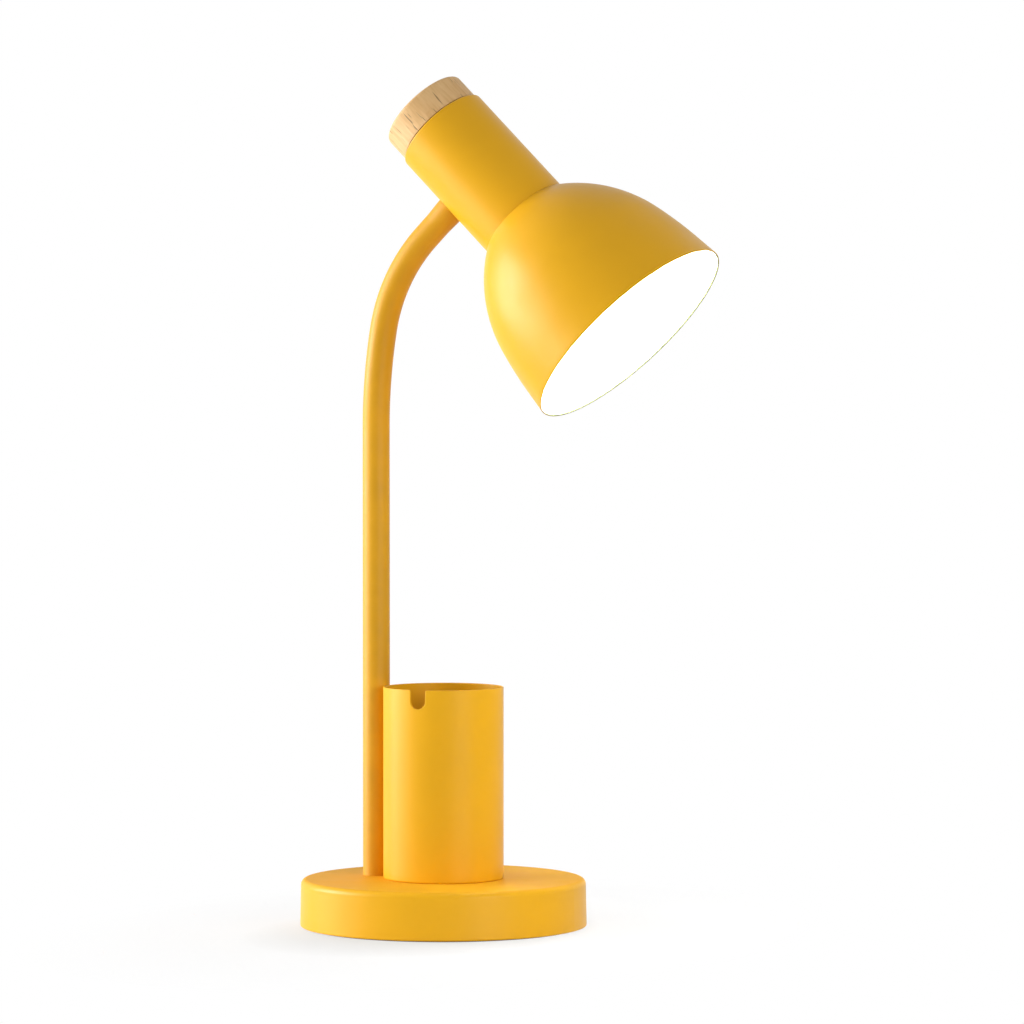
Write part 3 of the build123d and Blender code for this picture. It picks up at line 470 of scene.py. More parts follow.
def cup_grid(sizes, underside_rings=9, floor_rings=11, arc_steps=6):
    """The pen cup as rings, from the middle of its underside up the outside, over the rim and down the
    inside to the middle of its floor.

    A ring is an angle, a radius and a height for each place on the rim's outline. On the walls the ring
    glides from the outline, with its notch, to an even circle at the foot: height goes evenly, angle by
    1 - (1 - share) cubed. Over the cut edge a ring is the outline moved into the metal by
    edge * (1 - sin turn), edge * (1 - cos turn) in from the wall's face."""
    low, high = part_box("pen_cup")
    radius = node_width("pen_cup") / 2
    inner_radius = radius - sizes.wall
    outline, inwards = cup_outline(radius, sizes)
    places = len(outline)
    even = np.linspace(-math.pi, math.pi, places, endpoint=False)
    foot, edge, corner = sizes.foot_round, sizes.edge_round, sizes.foot_round / 2
    floor = low.z + sizes.floor
    close_to_rim = [0, 0.004, 0.012, 0.03]
    share = np.concatenate([close_to_rim, np.linspace(0.06, 1, 26)])[:, None]
    set_back = outline + edge * inwards

    def wall(ring_radius, bottom):
        angle = set_back[:, 0] / radius
        angle = angle + (even - angle) * (1 - (1 - share) ** 3)
        height = high.z + set_back[:, 1]
        return angle, np.full_like(angle, ring_radius), height + (bottom - height) * share

    def circle(ring_radius, height):
        ring_radius, height = np.broadcast_arrays(ring_radius, height)
        shape = (len(ring_radius), places)
        return (np.broadcast_to(even, shape), np.broadcast_to(ring_radius[:, None], shape),
                np.broadcast_to(height[:, None], shape))

    turn = np.linspace(0, math.pi / 2, arc_steps + 1)
    underside = circle(np.linspace(0, radius - foot, underside_rings + 1)[:-1], low.z)
    heel = circle(radius - foot + foot * np.sin(turn), low.z + foot - foot * np.cos(turn))
    outside = wall(radius, low.z + foot)
    over = np.concatenate([turn[1:], turn[::-1][:-1]])[:, None]
    depth = edge * (1 - np.cos(over))
    depth[arc_steps:] = sizes.wall - depth[arc_steps:]
    moved = outline + (edge * (1 - np.sin(over)))[:, :, None] * inwards
    rim = moved[:, :, 0] / radius, np.broadcast_to(radius - depth, moved.shape[:2]), high.z + moved[:, :, 1]
    inside = wall(inner_radius, floor + corner)
    toe = circle(inner_radius - corner + corner * np.cos(turn), floor + corner - corner * np.sin(turn))
    inner_floor = circle(np.linspace(inner_radius - corner, 0, floor_rings + 1)[1:], floor)
    parts = [underside, heel, tuple(part[::-1][1:] for part in outside), rim, inside,
             tuple(part[1:] for part in toe), inner_floor]
    angle, ring, height = (np.vstack([part[k] for part in parts]) for k in range(3))
    angle = angle - math.pi / 2
    return np.stack([ring * np.cos(angle), ring * np.sin(angle), height], -1)


def screw_grid(centre, turn, sizes):
    """A pan head screw: a section turned about its axis, with a cross recess sunk in the head's top.

    The recess is the greater of two arms, each the product of a ramp at its ends and a ramp at its sides."""
    arm_length, end_ramp, arm_width, side_ramp, recess_depth = 0.0020, 0.0005, 0.00058, 0.00022, 0.0011
    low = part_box("cup_screws")[0].z - centre[2]
    shank, head, height = sizes.screw_shank / 2, sizes.screw_head / 2, sizes.screw_height
    corners = [(0, low), (shank, low), (shank, 0), (head, 0), (head, height), (0, height)]
    radii = [0.0003, 0.00005, 0.0001, 0.0014]
    line = held(rounded(corners, radii), gap=0.0001, longest=0.00016)
    grid = turned(line, centre, UP, FRONT, steps=96)
    x, y = grid[:, :, 0] - centre[0], grid[:, :, 1] - centre[1]
    x, y = x * math.cos(turn) + y * math.sin(turn), y * math.cos(turn) - x * math.sin(turn)

    def arm(along, across):
        return (np.clip((arm_length - np.abs(along)) / end_ramp, 0, 1)
                * np.clip((arm_width - np.abs(across)) / side_ramp, 0, 1))

    top = (line[:, 1] > height * 0.4)[:, None]
    grid[:, :, 2] -= recess_depth * np.maximum(arm(x, y), arm(y, x)) * top
    return grid


# Materials


class Wiring:
    """Adds nodes to a tree and joins them, so that a material reads as a list of steps"""

    def __init__(self, tree):
        self.tree = tree
        tree.nodes.clear()

    def add(self, kind, sockets=None, **settings):
        """A node of a kind with its settings, its sockets joined to other nodes or set to values"""
        node = self.tree.nodes.new(kind if kind.startswith("NodeGroup") else "ShaderNode" + kind)
        for name, value in settings.items():
            setattr(node, name, value)
        for key, value in (sockets or {}).items():
            if isinstance(value, bpy.types.NodeSocket):
                self.tree.links.new(value, node.inputs[key])
            else:
                node.inputs[key].default_value = value
        return node

    def place(self):
        """The piece's own coordinates, in metres"""
        return self.add("TexCoord").outputs["Object"]

    def math(self, operation, first, second=0.0):
        """The result of a sum on one or two values"""
        return self.add("Math", {0: first, 1: second}, operation=operation).outputs[0]

    def weighted(self, *parts):
        """The sum of values, each times its amount"""
        total = None
        for value, amount in parts:
            part = self.math("MULTIPLY", value, amount)
            total = part if total is None else self.math("ADD", total, part)
        return total

    def mix(self, share, first, second):
        """Two colours mixed by the share of the second"""
        return self.add("Mix", {0: share, 6: first, 7: second}, data_type="RGBA").outputs[2]

    def spread(self, value, low, high, to_low=0.0, to_high=1.0):
        """A value moved from one range to another and kept inside it"""
        return self.add("MapRange", {"Value": value, "From Min": low, "From Max": high, "To Min": to_low,
                                     "To Max": to_high}).outputs[0]

    def noise(self, place, scale, detail=2.0, roughness=0.5):
        """A cloudy value between 0 and 1"""
        return self.add("TexNoise", {"Vector": place, "Scale": scale, "Detail": detail,
                                     "Roughness": roughness}).outputs[0]

    def scaled(self, place, scale):
        """Coordinates drawn out or pressed together along their axes"""
        return self.add("Mapping", {"Vector": place, "Scale": scale}).outputs[0]

    def distance(self, place, moved, scale):
        """How far a place, drawn out by scale and then moved, is from the origin"""
        at = self.add("Mapping", {"Vector": place, "Location": moved, "Scale": scale}).outputs[0]
        return self.add("VectorMath", {0: at}, operation="LENGTH").outputs["Value"]

    def bump(self, height, depth):
        """The normal that a height of so many metres gives"""
        return self.add("Bump", {"Height": height, "Distance": depth}).outputs[0]

    def effect(self, group, **values):
        """A node group placed with its own values, whose names are given with underscores"""
        node = self.add("Group", node_tree=group)
        for name, value in values.items():
            node.inputs[name.replace("_", " ").capitalize()].default_value = value
        return node.outputs

    def principled(self, **sockets):
        """The Principled shader joined to the material's output"""
        shader = self.add("BsdfPrincipled", {name.replace("_", " ").title().replace("Ior", "IOR"): value
                                             for name, value in sockets.items()})
        self.add("OutputMaterial", {"Surface": shader.outputs[0]})


def tone(colour, factor=1.0):
    """A colour made lighter or darker, with its alpha"""
    return (*(min(1.0, part * factor) for part in colour[:3]), 1.0)


def node_group(name, inputs, outputs, build):
    """A shader node group, made once. inputs give its values' names and defaults, outputs its results'
    names, and build(wires, given) wires it up and returns the results."""
    group = bpy.data.node_groups.get(name)
    if group is None:
        group = bpy.data.node_groups.new(name, "ShaderNodeTree")
        for label, value in inputs.items():
            socket = group.interface.new_socket(label, in_out="INPUT", socket_type="NodeSocketFloat")
            socket.default_value = value
        for label in outputs:
            group.interface.new_socket(label, in_out="OUTPUT", socket_type="NodeSocketFloat")
        wires = Wiring(group)
        made = build(wires, wires.add("NodeGroupInput").outputs)
        wires.add("NodeGroupOutput", dict(enumerate(made)))
    return group


def coat_skin():
    """The skin of a powder coat: Height is orange peel of two sizes, Tone and Gloss drift slowly over it"""

    def build(wires, given):
        place = wires.place()
        fine = wires.noise(place, given["Peel"], 1.0)
        broad = wires.noise(place, wires.math("MULTIPLY", given["Peel"], 0.3), 1.0)
        height = wires.weighted((fine, 0.4), (broad, 0.9))
        drift = wires.noise(place, given["Drift"], 3.0)
        handled = wires.noise(place, wires.math("MULTIPLY", given["Drift"], 3.1), 4.0, 0.65)
        return height, wires.spread(drift, 0.3, 0.7), wires.spread(handled, 0.32, 0.68)

    return node_group("Coat skin", {"Peel": 1500.0, "Drift": 16.0}, ["Height", "Tone", "Gloss"], build)


def worked_metal():
    """Worked metal: Height is fine drawn-out scratches with pits, Streak the scratches, Stain a slow cloud"""

    def build(wires, given):
        place = wires.place()
        streak = wires.noise(wires.scaled(place, (1.0, 1.0, 0.08)), given["Grain"], 3.0, 0.7)
        pits = wires.noise(place, wires.math("MULTIPLY", given["Grain"], 0.5), 2.0)
        stain = wires.spread(wires.noise(place, given["Stain"], 3.0), 0.3, 0.7)
        return wires.weighted((streak, 1.0), (pits, 0.5)), wires.spread(streak, 0.3, 0.7), stain

    return node_group("Worked metal", {"Grain": 1800.0, "Stain": 60.0}, ["Height", "Streak", "Stain"], build)


def moulded_skin():
    """Moulded plastic, rubber or foam: Height is a fine pebbled texture, Tone a slow cloud"""

    def build(wires, given):
        place = wires.place()
        pebbles = wires.add("TexVoronoi", {"Vector": place, "Scale": given["Texture"]}).outputs[0]
        grain = wires.noise(place, wires.math("MULTIPLY", given["Texture"], 1.7), 2.0)
        drift = wires.noise(place, given["Drift"], 3.0)
        return wires.weighted((pebbles, 0.6), (grain, 0.4)), wires.spread(drift, 0.3, 0.7)

    return node_group("Moulded skin", {"Texture": 1500.0, "Drift": 45.0}, ["Height", "Tone"], build)


def ready(name):
    """The material of that name if it is there already, and otherwise a new one with its wiring"""
    material = bpy.data.materials.get(name)
    if material is not None:
        return material, None
    material = bpy.data.materials.new(name)
    material.use_nodes = True
    return material, Wiring(material.node_tree)


def coated(name, colour, low=0.33, high=0.43, gloss=0.22, tint=0.04, top=None):
    """A coloured coat: orange peel, a slight drift of tone, and places that are more or less worn to gloss.
    Where a height top is given, the face at that height is duller than the sides below it"""
    material, wires = ready(name)
    if wires:
        skin = wires.effect(coat_skin(), peel=1500.0)
        roughness = wires.spread(skin["Gloss"], 0, 1, low, high)
        if top:
            level = wires.add("SeparateXYZ", {0: wires.place()}).outputs[2]
            dull = wires.spread(level, top - 0.0012, top - 0.0002, to_high=0.22)
            roughness = wires.math("ADD", roughness, dull)
        wires.principled(base_color=wires.mix(skin["Tone"], tone(colour, 1 - tint), tone(colour, 1 + tint)),
                         roughness=roughness, specular_ior_level=gloss,
                         normal=wires.bump(skin["Height"], 0.000016))
    return material


def sleeved(colour):
    """Silicone sleeve: a soft sheen, a fine pebbled skin and a little dust"""
    material, wires = ready("Silicone sleeve")
    if wires:
        skin = wires.effect(moulded_skin(), texture=2600.0, drift=55.0)
        dust = wires.noise(wires.place(), 900.0, 3.0, 0.7)
        base = wires.mix(skin["Tone"], tone(colour, 0.95), tone(colour, 1.05))
        base = wires.mix(wires.spread(dust, 0.62, 0.80, to_high=0.10), base, (0.86, 0.70, 0.42, 1.0))
        wires.principled(base_color=base, roughness=wires.spread(skin["Tone"], 0, 1, 0.42, 0.52),
                         specular_ior_level=0.25, normal=wires.bump(skin["Height"], 0.000010))
    return material


def bare_metal(name):
    """One of the METALS, bare or plated, with drawn-out scratches, pits and faint stains"""
    finish = {"grain": 1800.0, "depth": 0.000012, "metallic": 1.0, **METALS[name]}
    material, wires = ready(name)
    if wires:
        metal = wires.effect(worked_metal(), grain=finish["grain"])
        darker, lighter = tone(finish["colour"], 0.84), tone(finish["colour"], 1.08)
        wires.principled(base_color=wires.mix(metal["Stain"], darker, lighter), metallic=finish["metallic"],
                         roughness=wires.spread(metal["Streak"], 0, 1, *finish["roughness"]),
                         normal=wires.bump(metal["Height"], finish["depth"]))
    return material


def moulded(name):
    """One of the PLASTICS: moulded plastic, rubber or foam"""
    finish = {"texture": 1500.0, "depth": 0.00002, **PLASTICS[name]}
    material, wires = ready(name)
    if wires:
        skin = wires.effect(moulded_skin(), texture=finish["texture"])
        darker, lighter = tone(finish["colour"], 0.9), tone(finish["colour"], 1.1)
        wires.principled(base_color=wires.mix(skin["Tone"], darker, lighter),
                         roughness=wires.spread(skin["Tone"], 0, 1, *finish["roughness"]),
                         normal=wires.bump(skin["Height"], finish["depth"]))
    return material


def opal_glass(colour, strength):
    """Opal glass of the lit globe, whose glow is a little uneven"""
    material, wires = ready("Lit opal glass")
    if wires:
        skin = wires.effect(moulded_skin(), texture=900.0, drift=70.0)
        wires.principled(base_color=wires.mix(skin["Tone"], (0.86, 0.86, 0.84, 1), (0.90, 0.90, 0.88, 1)),
                         roughness=wires.spread(skin["Tone"], 0, 1, 0.28, 0.36),
                         emission_color=wires.mix(skin["Tone"], tone(colour, 0.95), tone(colour)),
                         emission_strength=strength)
    return material


def turned_wood(light, dark):
    """Pale hardwood with its fibres along the knob's axis.

    The place is turned so that Z runs up the axis. Growth rings are the part over whole numbers of the
    distance from a pith beside the knob, which wavers. Zones are a broad noise, fibres and streaks noises
    drawn out along Z, and the dark flecks are the rare peaks of one that is drawn out less."""
    material, wires = ready("Turned wood")
    if not wires:
        return material
    lean = math.atan2(-HEAD_UP[0], HEAD_UP[2])
    turn = np.array([[math.cos(lean), 0, math.sin(lean)], [0, 1, 0], [-math.sin(lean), 0, math.cos(lean)]])
    centred = wires.add("Mapping", {"Vector": wires.place(), "Rotation": (0, lean, 0),
                                    "Location": tuple(-turn @ KNOB_SEAT)}).outputs[0]

    def drawn_out(share, scale, detail, low, high, rough=0.5):
        cloud = wires.noise(wires.scaled(centred, (1, 1, share)), scale, detail, rough)
        return wires.spread(cloud, low, high)

    waver = wires.noise(wires.scaled(centred, (1, 1, 0.25)), 60.0, 2.0)
    from_pith = wires.distance(centred, (-0.052, 0.061, 0), (1, 1, 0.02))
    late = wires.math("POWER", wires.math("FRACT", wires.weighted((from_pith, 240.0), (waver, 4.0))), 2.2)
    fibres = drawn_out(0.03, 2400.0, 3.0, 0.30, 0.70, 0.65)
    flecks = drawn_out(0.085, 850.0, 1.0, 0.675, 0.715)
    zones = drawn_out(0.6, 110.0, 3.0, 0.34, 0.66)
    streaks = drawn_out(0.10, 700.0, 2.0, 0.42, 0.70)
    share = wires.weighted((late, 0.16), (zones, 0.34), (streaks, 0.34), (fibres, 0.16))
    base = wires.mix(share, tone(light), tone(dark))
    base = wires.mix(wires.math("MULTIPLY", flecks, 0.74), base, (0.20, 0.095, 0.035, 1))
    height = wires.math("SUBTRACT", wires.math("MULTIPLY", fibres, 0.4), flecks)
    wires.principled(base_color=base, roughness=wires.spread(fibres, 0, 1, 0.46, 0.60),
                     specular_ior_level=0.25, normal=wires.bump(height, 0.00004))
    return material


def dress(material, *nodes):
    """Gives CAD nodes their finish"""
    for node in nodes:
        NODES[node].data.materials.clear()
        NODES[node].data.materials.append(material)


def place_piece(piece, body, slot, materials, *nodes):
    """Gives a new piece its finish and its body, and hides the CAD nodes that it stands for"""
    for material in materials:
        piece.data.materials.append(material)
    if body:
        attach(piece, body)
    if nodes:
        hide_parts(*nodes)


# Operators, one for each piece or group of like pieces


class LAMP_OT_base(bpy.types.Operator):
    """Finish the coated base, its foot pad, plate, weight and cord gland"""

    bl_idname = "desk_lamp.base"
    bl_label = "Base"

    def execute(self, context):
        coat, top = context.scene.lamp_colours.coat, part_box("base_shell")[1].z
        dress(coated("Base coat", coat, low=0.32, high=0.40, gloss=0.18, top=top), "base_shell")
        dress(moulded("Foot foam"), "foot_pad")
        dress(moulded("Gland rubber"), "cord_gland")
        dress(moulded("White thermoplastic"), "terminal_block")
        dress(bare_metal("Cast iron"), "base_weight")
        dress(bare_metal("Zinc plated steel"), "base_plate")
        dress(bare_metal("Fastener steel"), "base_screws")
        return {"FINISHED"}


class LAMP_OT_pen_cup(bpy.types.Operator):
    """Build the pen cup with the round notch in its rim"""

    bl_idname = "desk_lamp.pen_cup"
    bl_label = "Pen Cup"

    def execute(self, context):
        cup = surface("pen_cup_coated", [cup_grid(context.scene.cup_sizes)])
        coat = coated("Cup coat", context.scene.lamp_colours.coat, low=0.35, high=0.45, gloss=0.16)
        place_piece(cup, "stand", "yellow_coat", [coat], "pen_cup")
        return {"FINISHED"}


class LAMP_OT_cup_screws(bpy.types.Operator):
    """Build the three cross recess screws in the cup's floor"""

    bl_idname = "desk_lamp.cup_screws"
    bl_label = "Cup Screws"

    def execute(self, context):
        sizes = context.scene.cup_sizes
        floor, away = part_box("pen_cup")[0].z + sizes.floor, sizes.screw_circle / 2
        places, turns = np.radians([90.0, 210.0, 330.0]), (0.3, 1.1, 0.7)
        screws = surface("cup_pan_head_screws", [
            screw_grid(np.array([away * math.cos(a), away * math.sin(a), floor]), turn, sizes)
            for a, turn in zip(places, turns)])
        place_piece(screws, "stand", "fastener_steel", [bare_metal("Fastener steel")], "cup_screws")
        return {"FINISHED"}


class LAMP_OT_neck(bpy.types.Operator):
    """Build the gooseneck's sleeve, stretch by stretch, with a stretch of its own over each joint"""

    bl_idname = "desk_lamp.neck"
    bl_label = "Gooseneck Sleeve"

    def execute(self, context):
        sizes, head = context.scene.neck_sizes, context.scene.head_sizes
        distances, step = self.joint_distances(sizes)
        rubber = sleeved(context.scene.lamp_colours.sleeve)
        radius, flare_radius = sizes.sleeve_diameter / 2, sizes.flare_diameter / 2
        bore, wide_bore = sizes.sleeve_bore / 2, sizes.shoulder_bore / 2
        foot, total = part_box("post_sleeve")[0].z, neck_length(sizes)
        housing = head.housing_diameter / 2 + FIT

        def plain(distance):
            return np.full_like(distance, radius)

        def plain_bore(distance):
            return np.full_like(distance, bore)

        def flared(distance):
            share = np.clip((distance - (total - housing - sizes.flare_length)) / sizes.flare_length, 0, 1)
            return radius + (flare_radius - radius) * share * share * (3 - 2 * share)

        def foot_bore(distance):
            return np.where(distance < foot + sizes.shoulder_height, wide_bore, bore)

        def end_bore(distance):
            shoulder = total - housing - sizes.shoulder_height
            return np.where(distance > shoulder, wide_bore, bore)

        post = sleeve_stretch("sleeve_foot", foot, distances[0] - step / 2, plain, foot_bore, sizes)
        place_piece(post, "stand", "yellow_sleeve", [rubber], "post_sleeve")
        sleeves = ["post_sleeve", *(f"neck_sleeve_{k}" for k in NECK_LINKS), "neck_sleeve_end"]
        for number, (name, distance) in enumerate(zip(NECK_JOINTS, distances)):
            bend = sleeve_stretch(f"sleeve_bend_{number + 1}", distance - step / 2, distance + step / 2,
                                  plain, plain_bore, sizes)
            place_piece(bend, None, "yellow_sleeve", [rubber], sleeves[number], sleeves[number + 1])
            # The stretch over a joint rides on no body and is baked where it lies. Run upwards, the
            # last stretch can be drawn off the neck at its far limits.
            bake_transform(bend)
        angle = np.linspace(0, 2 * math.pi, SLEEVE_STEPS, endpoint=False)
        sideways = np.array([[flare_radius], [bore]]) * np.cos(angle)
        cut = total - np.sqrt(housing ** 2 - sideways ** 2)
        last = sleeve_stretch("sleeve_end", distances[-1] + step / 2, cut, flared, end_bore, sizes)
        place_piece(last, "head", "yellow_sleeve", [rubber], "neck_sleeve_end")
        dress(bare_metal("Wound steel"), "post_tube", "neck_fitting", *(f"neck_core_{k}" for k in NECK_LINKS))
        dress(moulded("Lead cover"), "lead_base", *(f"neck_lead_{k}" for k in NECK_LINKS))
        dress(bare_metal("Fastener steel"), "post_washer", "post_nut")
        return {"FINISHED"}

    def joint_distances(self, sizes):
        """How far up the neck's line each joint lies, and the step between them. The first two lie on the
        straight rise, which gives the step."""
        hinges = np.array([JOINTS[name]["pos_m"] for name in NECK_JOINTS])
        step = hinges[1, 2] - hinges[0, 2]
        distances = hinges[0, 2] + step * np.arange(len(hinges))
        furthest_off = 0.0002
        if np.abs(neck_line(distances, sizes)[0] - hinges).max() > furthest_off:
            raise RuntimeError("The neck's centre line misses its joints")
        return distances, step


class LAMP_OT_shade(bpy.types.Operator):
    """Build the spun bell shade, coated outside and white inside"""

    bl_idname = "desk_lamp.shade"
    bl_label = "Bell Shade"

    def execute(self, context):
        colours = context.scene.lamp_colours
        grid, finish = bell_grid(context.scene.head_sizes)
        shade = surface("bell_shade", [grid], loop=True, finish=finish)
        coats = [coated("Yellow coat", colours.coat),
                 coated("White enamel", colours.enamel, low=0.30, high=0.40, tint=0.015),
                 # The third finish is painted shade: a dark olive on the inner half of the rim's edge
                 coated("Seam of the coats", colours.seam, low=0.50, high=0.60, tint=0.10)]
        place_piece(shade, "head", "shade_coat", coats, "shade")
        return {"FINISHED"}


class LAMP_OT_housing(bpy.types.Operator):
    """Finish the lamp housing and the nut that holds the neck in it"""

    bl_idname = "desk_lamp.housing"
    bl_label = "Lamp Housing"

    def execute(self, context):
        dress(coated("Yellow coat", context.scene.lamp_colours.coat), "lamp_housing")
        dress(bare_metal("Fastener steel"), "neck_saddle", "neck_nut")
        dress(moulded("Lead cover"), "lead_head")
        return {"FINISHED"}


class LAMP_OT_lampholder(bpy.types.Operator):
    """Build the threaded lampholder and its ribbed ring, and finish the lit bulb"""

    bl_idname = "desk_lamp.lampholder"
    bl_label = "Lampholder and Bulb"

    def execute(self, context):
        sizes, colours = context.scene.head_sizes, context.scene.lamp_colours
        back = bell_line(sizes, 0.0)[-1, 1]
        plastic = moulded("White thermoplastic")
        holder = surface("threaded_lampholder", [self.holder_grid(sizes, back)])
        place_piece(holder, "head", "holder_plastic", [plastic], "lampholder")
        ring = surface("ribbed_shade_ring", [self.ring_grid(sizes, back)], loop=True)
        place_piece(ring, "head", "holder_plastic", [plastic], "shade_ring")
        dress(bare_metal("Contact brass"), "screw_shell", "holder_contact", "bulb_contact")
        dress(bare_metal("Nickel plate"), "bulb_cap")
        dress(moulded("Bulb body"), "bulb_body")
        dress(opal_glass(colours.glow, context.scene.studio_settings.globe), "bulb_globe")
        return {"FINISHED"}

    def holder_grid(self, sizes, back):
        """The lampholder from its cavity's top down the skirt and up the outside. The thread is a wave on
        the skirt, 0.5 - 0.5 * cos(turns of the pitch less the angle), which runs out at both ends."""
        seat = back + 0.001
        skirt, thread, cavity = seat - sizes.thread_length, sizes.thread_diameter / 2, sizes.holder_cavity / 2
        cavity_top = seat + 0.017
        collar, collar_top = 0.0225, seat + 0.003
        stem, stem_top = 0.018, seat + 0.022
        corners = [(0, cavity_top), (cavity, cavity_top), (cavity, skirt), (thread, skirt), (thread, seat),
                   (collar, seat), (collar, collar_top), (stem, collar_top), (stem, stem_top), (0, stem_top)]
        radii = [0.0006, 0.0003, 0.0006, 0.0001, 0.0002, 0.0004, 0.0003, 0.003]
        line = held(rounded(corners, radii), longest=0.00028)
        run_out, from_skirt, from_shade, skin = 0.0006, 0.0008, 0.0010, 0.0001

        def screw_thread(radius, height, angle):
            starts = np.clip((height - skirt - from_skirt) / run_out, 0, 1)
            ends = np.clip((back - from_shade - height) / run_out, 0, 1)
            outer = (radius > thread - skin) & (radius < thread + skin)
            wave = np.cos(2 * math.pi * height / sizes.thread_pitch - angle)
            return -sizes.thread_depth * (0.5 - 0.5 * wave) * starts * ends * outer

        return turned(line, mouth_centre(sizes), HEAD_UP, HEAD_FRONT, relief=screw_thread)

    def ring_grid(self, sizes, back):
        """The shade ring, whose outside is grooved by a clipped wave round it, which leaves the ribs"""
        top = back - sizes.shade_wall
        low = top - sizes.ring_thickness
        middle = (low + top) / 2
        radius, bore = node_width("shade_ring") / 2, sizes.thread_diameter / 2 + FIT
        corners = [(bore, middle), (bore, low), (radius, low), (radius, top), (bore, top), (bore, middle)]
        radii = [0.0003, 0.0008, 0.0004, 0.0001]
        line = held(rounded(corners, radii), longest=0.0008)[:-1]
        groove_depth, grooved_band = 0.0007, 0.0012

        def ribs(ring_radius, height, angle):
            groove = np.clip(0.5 - 0.9 * np.cos(sizes.ring_ribs * angle), 0, 1)
            return -groove_depth * groove * (ring_radius > radius - grooved_band)

        return turned(line, mouth_centre(sizes), HEAD_UP, HEAD_FRONT, steps=432, relief=ribs)


class LAMP_OT_switch(bpy.types.Operator):
    """Finish the rotary switch behind the knob"""

    bl_idname = "desk_lamp.switch"
    bl_label = "Rotary Switch"

    def execute(self, context):
        dress(bare_metal("Zinc plated steel"), "switch_plate")
        dress(bare_metal("Fastener steel"), "switch_nut")
        dress(moulded("Switch plastic"), "switch_body")
        dress(moulded("Lead cover"), "switch_leads")
        dress(bare_metal("Contact brass"), "switch_shaft", "knob_insert")
        return {"FINISHED"}


class LAMP_OT_knob(bpy.types.Operator):
    """Build the turned wooden knob with its recess over the switch"""

    bl_idname = "desk_lamp.knob"
    bl_label = "Wooden Knob"

    def execute(self, context):
        sizes, colours = context.scene.head_sizes, context.scene.lamp_colours
        clearance, bore_length = 0.00002, 0.00702
        radius, bore = node_width("knob") / 2, node_width("knob_insert") / 2 + clearance
        recess, step, top = sizes.recess_diameter / 2, sizes.recess_depth, sizes.knob_length
        bore_end = step + bore_length
        corners = [(0, bore_end), (bore, bore_end), (bore, step), (recess, step), (recess, 0), (radius, 0),
                   (radius, top), (0, top)]
        radii = [0.0002, 0.0001, 0.0003, 0.0004, sizes.knob_foot_edge, sizes.knob_edge]
        line = held(rounded(corners, radii, steps=8))
        knob = surface("turned_knob", [turned(line, KNOB_SEAT, HEAD_UP, HEAD_FRONT, steps=160)])
        place_piece(knob, "knob", "knob_wood", [turned_wood(colours.wood, colours.grain)], "knob")
        return {"FINISHED"}


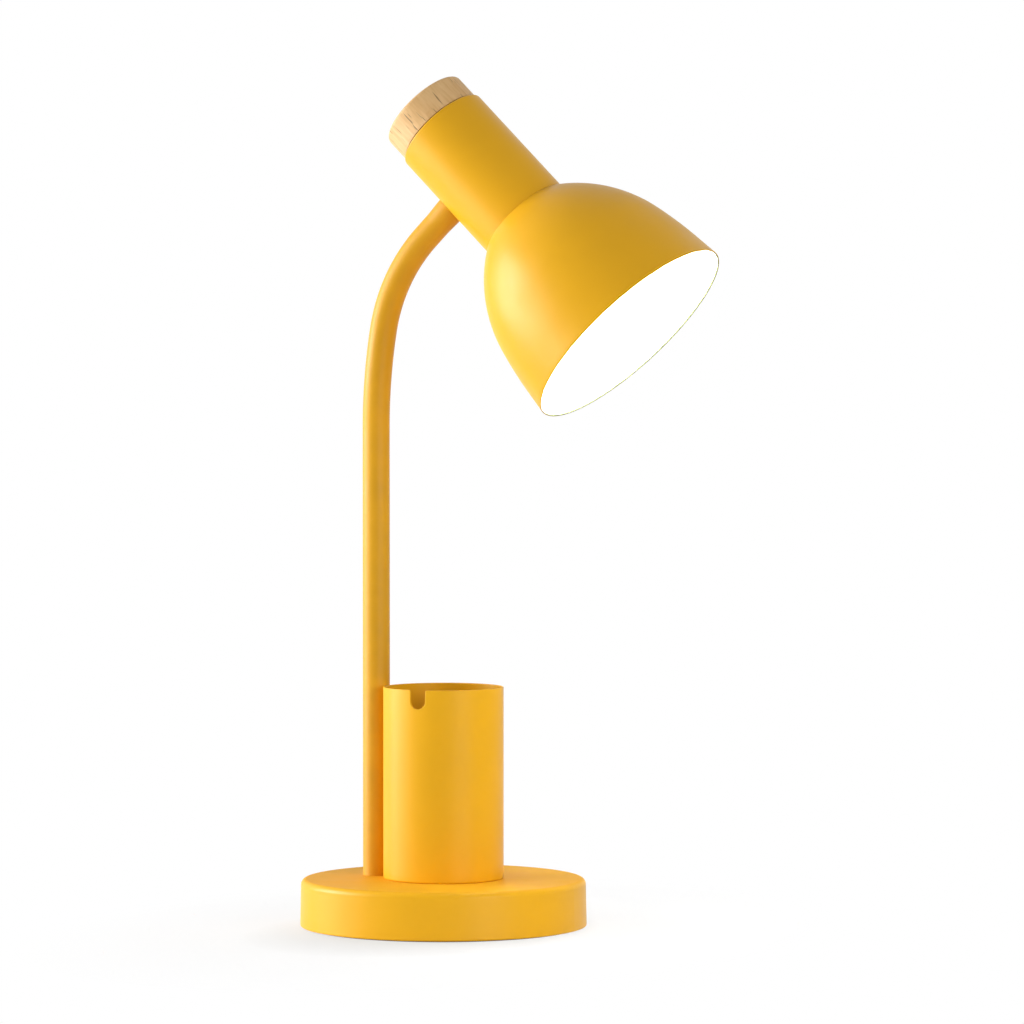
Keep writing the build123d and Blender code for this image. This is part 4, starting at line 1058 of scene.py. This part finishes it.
class LAMP_OT_stage(bpy.types.Operator):
    """Set up the floor, the backdrop, the lights and the camera"""

    bl_idname = "desk_lamp.stage"
    bl_label = "Studio"

    def execute(self, context):
        scene, studio = context.scene, context.scene.studio_settings
        data = bpy.data.cameras.new("Camera")
        data.lens, data.sensor_width, data.clip_end = studio.lens, 36.0, 60.0
        scene.camera = in_scene("Camera", data)
        scene.camera.location = CAMERA_PLACE
        scene.camera.rotation_euler = facing(CAMERA_LOOK)
        self.floor()
        self.world(scene, studio)
        shade_height = (0.0, 0.0, 0.30)
        self.lamp("Key light", studio.key, (0.7, 0.78), (-1.27, -0.30, 0.40), shade_height)
        self.lamp("Sheen light", studio.sheen, (1.0, 1.3), (-1.25, -0.45, 0.30), shade_height, sheen=True)
        self.lamp("Strip light", studio.strip, (0.3, 0.78), (-1.05, -0.80, 0.40), shade_height)
        self.lamp("Fill light", studio.fill, (1.0, 0.8), (1.75, -0.95, 0.42), (0.0, 0.0, 0.10))
        scene.view_settings.view_transform = "Standard"
        return {"FINISHED"}

    def lamp(self, name, watts, size, place, target, sheen=False):
        """A rectangular soft light that looks at a point, or one that shows only as sheen"""
        data = bpy.data.lights.new(name, "AREA")
        data.shape, data.size, data.size_y, data.energy = "RECTANGLE", *size, watts
        light = in_scene(name, data)
        light.location = place
        light.visible_diffuse = not sheen
        light.rotation_euler = facing(Vector(target) - Vector(place))

    def floor(self):
        """A wide pale floor. Seen by the camera it is mostly its own white, so that only a faint real shadow
        shows. In an oval round the foot, drawn out to the front, its own white is darker, which is a painted
        contact shadow, and further away it turns to the backdrop's white."""
        half, low = 30.0, -0.0001
        mesh = bpy.data.meshes.new("studio_floor")
        mesh.from_pydata([(-half, -half, low), (half, -half, low), (half, half, low), (-half, half, low)], [],
                         [(0, 1, 2, 3)])
        floor = in_scene("studio_floor", mesh)
        material, wires = ready("Studio floor")
        place = wires.place()
        distance = wires.distance(place, (0.0, 0.20, 0.0), (11.6, 8.3, 0.0))
        # Painted contact shadow: the floor's own white is darker inside the oval round the foot
        white = wires.mix(wires.spread(distance, 0.50, 1.03), (0.66, 0.66, 0.65, 1), (0.83, 0.83, 0.83, 1))
        fade = wires.spread(distance, 1.1, 2.2)
        seen = wires.add("BsdfPrincipled", {
            "Base Color": wires.mix(fade, (0.18, 0.18, 0.18, 1), (0, 0, 0, 1)), "Roughness": 1.0,
            "Specular IOR Level": 0.0, "Emission Strength": 1.0,
            "Emission Color": wires.mix(fade, white, (1, 1, 1, 1))})
        cloud = wires.mix(wires.noise(place, 2.0, 2.0), (0.78, 0.78, 0.78, 1), (0.80, 0.80, 0.80, 1))
        plain = wires.add("BsdfPrincipled", {"Base Color": cloud, "Roughness": 0.9, "Specular IOR Level": 0.0})
        shader = wires.add("MixShader", {0: self.white_rays(wires), 1: plain.outputs[0], 2: seen.outputs[0]})
        wires.add("OutputMaterial", {"Surface": shader.outputs[0]})
        mesh.materials.append(material)

    def white_rays(self, wires):
        """1 for the rays that show the white background, and 0 for those that carry light"""
        path = wires.add("LightPath").outputs
        seen = wires.math("MAXIMUM", path["Is Camera Ray"], path["Is Glossy Ray"])
        return wires.math("MAXIMUM", seen, path["Is Transmission Ray"])

    def world(self, scene, studio):
        """White for the camera, and a lower even light for everything else"""
        world = bpy.data.worlds.new("Studio")
        world.use_nodes = True
        wires = Wiring(world.node_tree)
        strength = wires.spread(self.white_rays(wires), 0.0, 1.0, studio.ambient, 1.0)
        background = wires.add("Background", {"Color": (1, 1, 1, 1), "Strength": strength})
        wires.add("OutputWorld", {"Surface": background.outputs[0]})
        scene.world = world


class LAMP_PT_panel(bpy.types.Panel):
    """Lists the lamp's pieces, each with the button that builds it"""

    bl_idname = "LAMP_PT_panel"
    bl_label = "Desk Lamp"
    bl_space_type = "VIEW_3D"
    bl_region_type = "UI"
    bl_category = "Desk Lamp"

    def draw(self, context):
        for operator in OPERATORS:
            self.layout.operator(operator.bl_idname)
        for group in PROPERTY_GROUPS:
            settings = getattr(context.scene, group)
            box = self.layout.box()
            for name in settings.bl_rna.properties.keys():
                if name not in ("rna_type", "name"):
                    box.prop(settings, name)


OPERATORS = [LAMP_OT_base, LAMP_OT_pen_cup, LAMP_OT_cup_screws, LAMP_OT_neck, LAMP_OT_shade, LAMP_OT_housing,
             LAMP_OT_lampholder, LAMP_OT_switch, LAMP_OT_knob, LAMP_OT_stage]
PROPERTY_GROUPS = {"neck_sizes": NeckSizes, "head_sizes": HeadSizes, "cup_sizes": CupSizes,
                   "lamp_colours": FinishColours, "studio_settings": StudioSettings}


def register():
    for group in PROPERTY_GROUPS.values():
        bpy.utils.register_class(group)
    for name, group in PROPERTY_GROUPS.items():
        setattr(bpy.types.Scene, name, PointerProperty(type=group))
    for operator in OPERATORS:
        bpy.utils.register_class(operator)
    bpy.utils.register_class(LAMP_PT_panel)


def unregister():
    bpy.utils.unregister_class(LAMP_PT_panel)
    for operator in reversed(OPERATORS):
        bpy.utils.unregister_class(operator)
    for name, group in PROPERTY_GROUPS.items():
        delattr(bpy.types.Scene, name)
        bpy.utils.unregister_class(group)


def main():
    """Builds every piece and the stage"""
    register()
    for operator in OPERATORS:
        group, name = operator.bl_idname.split(".")
        getattr(getattr(bpy.ops, group), name)()


if __name__ == "__main__":
    main()
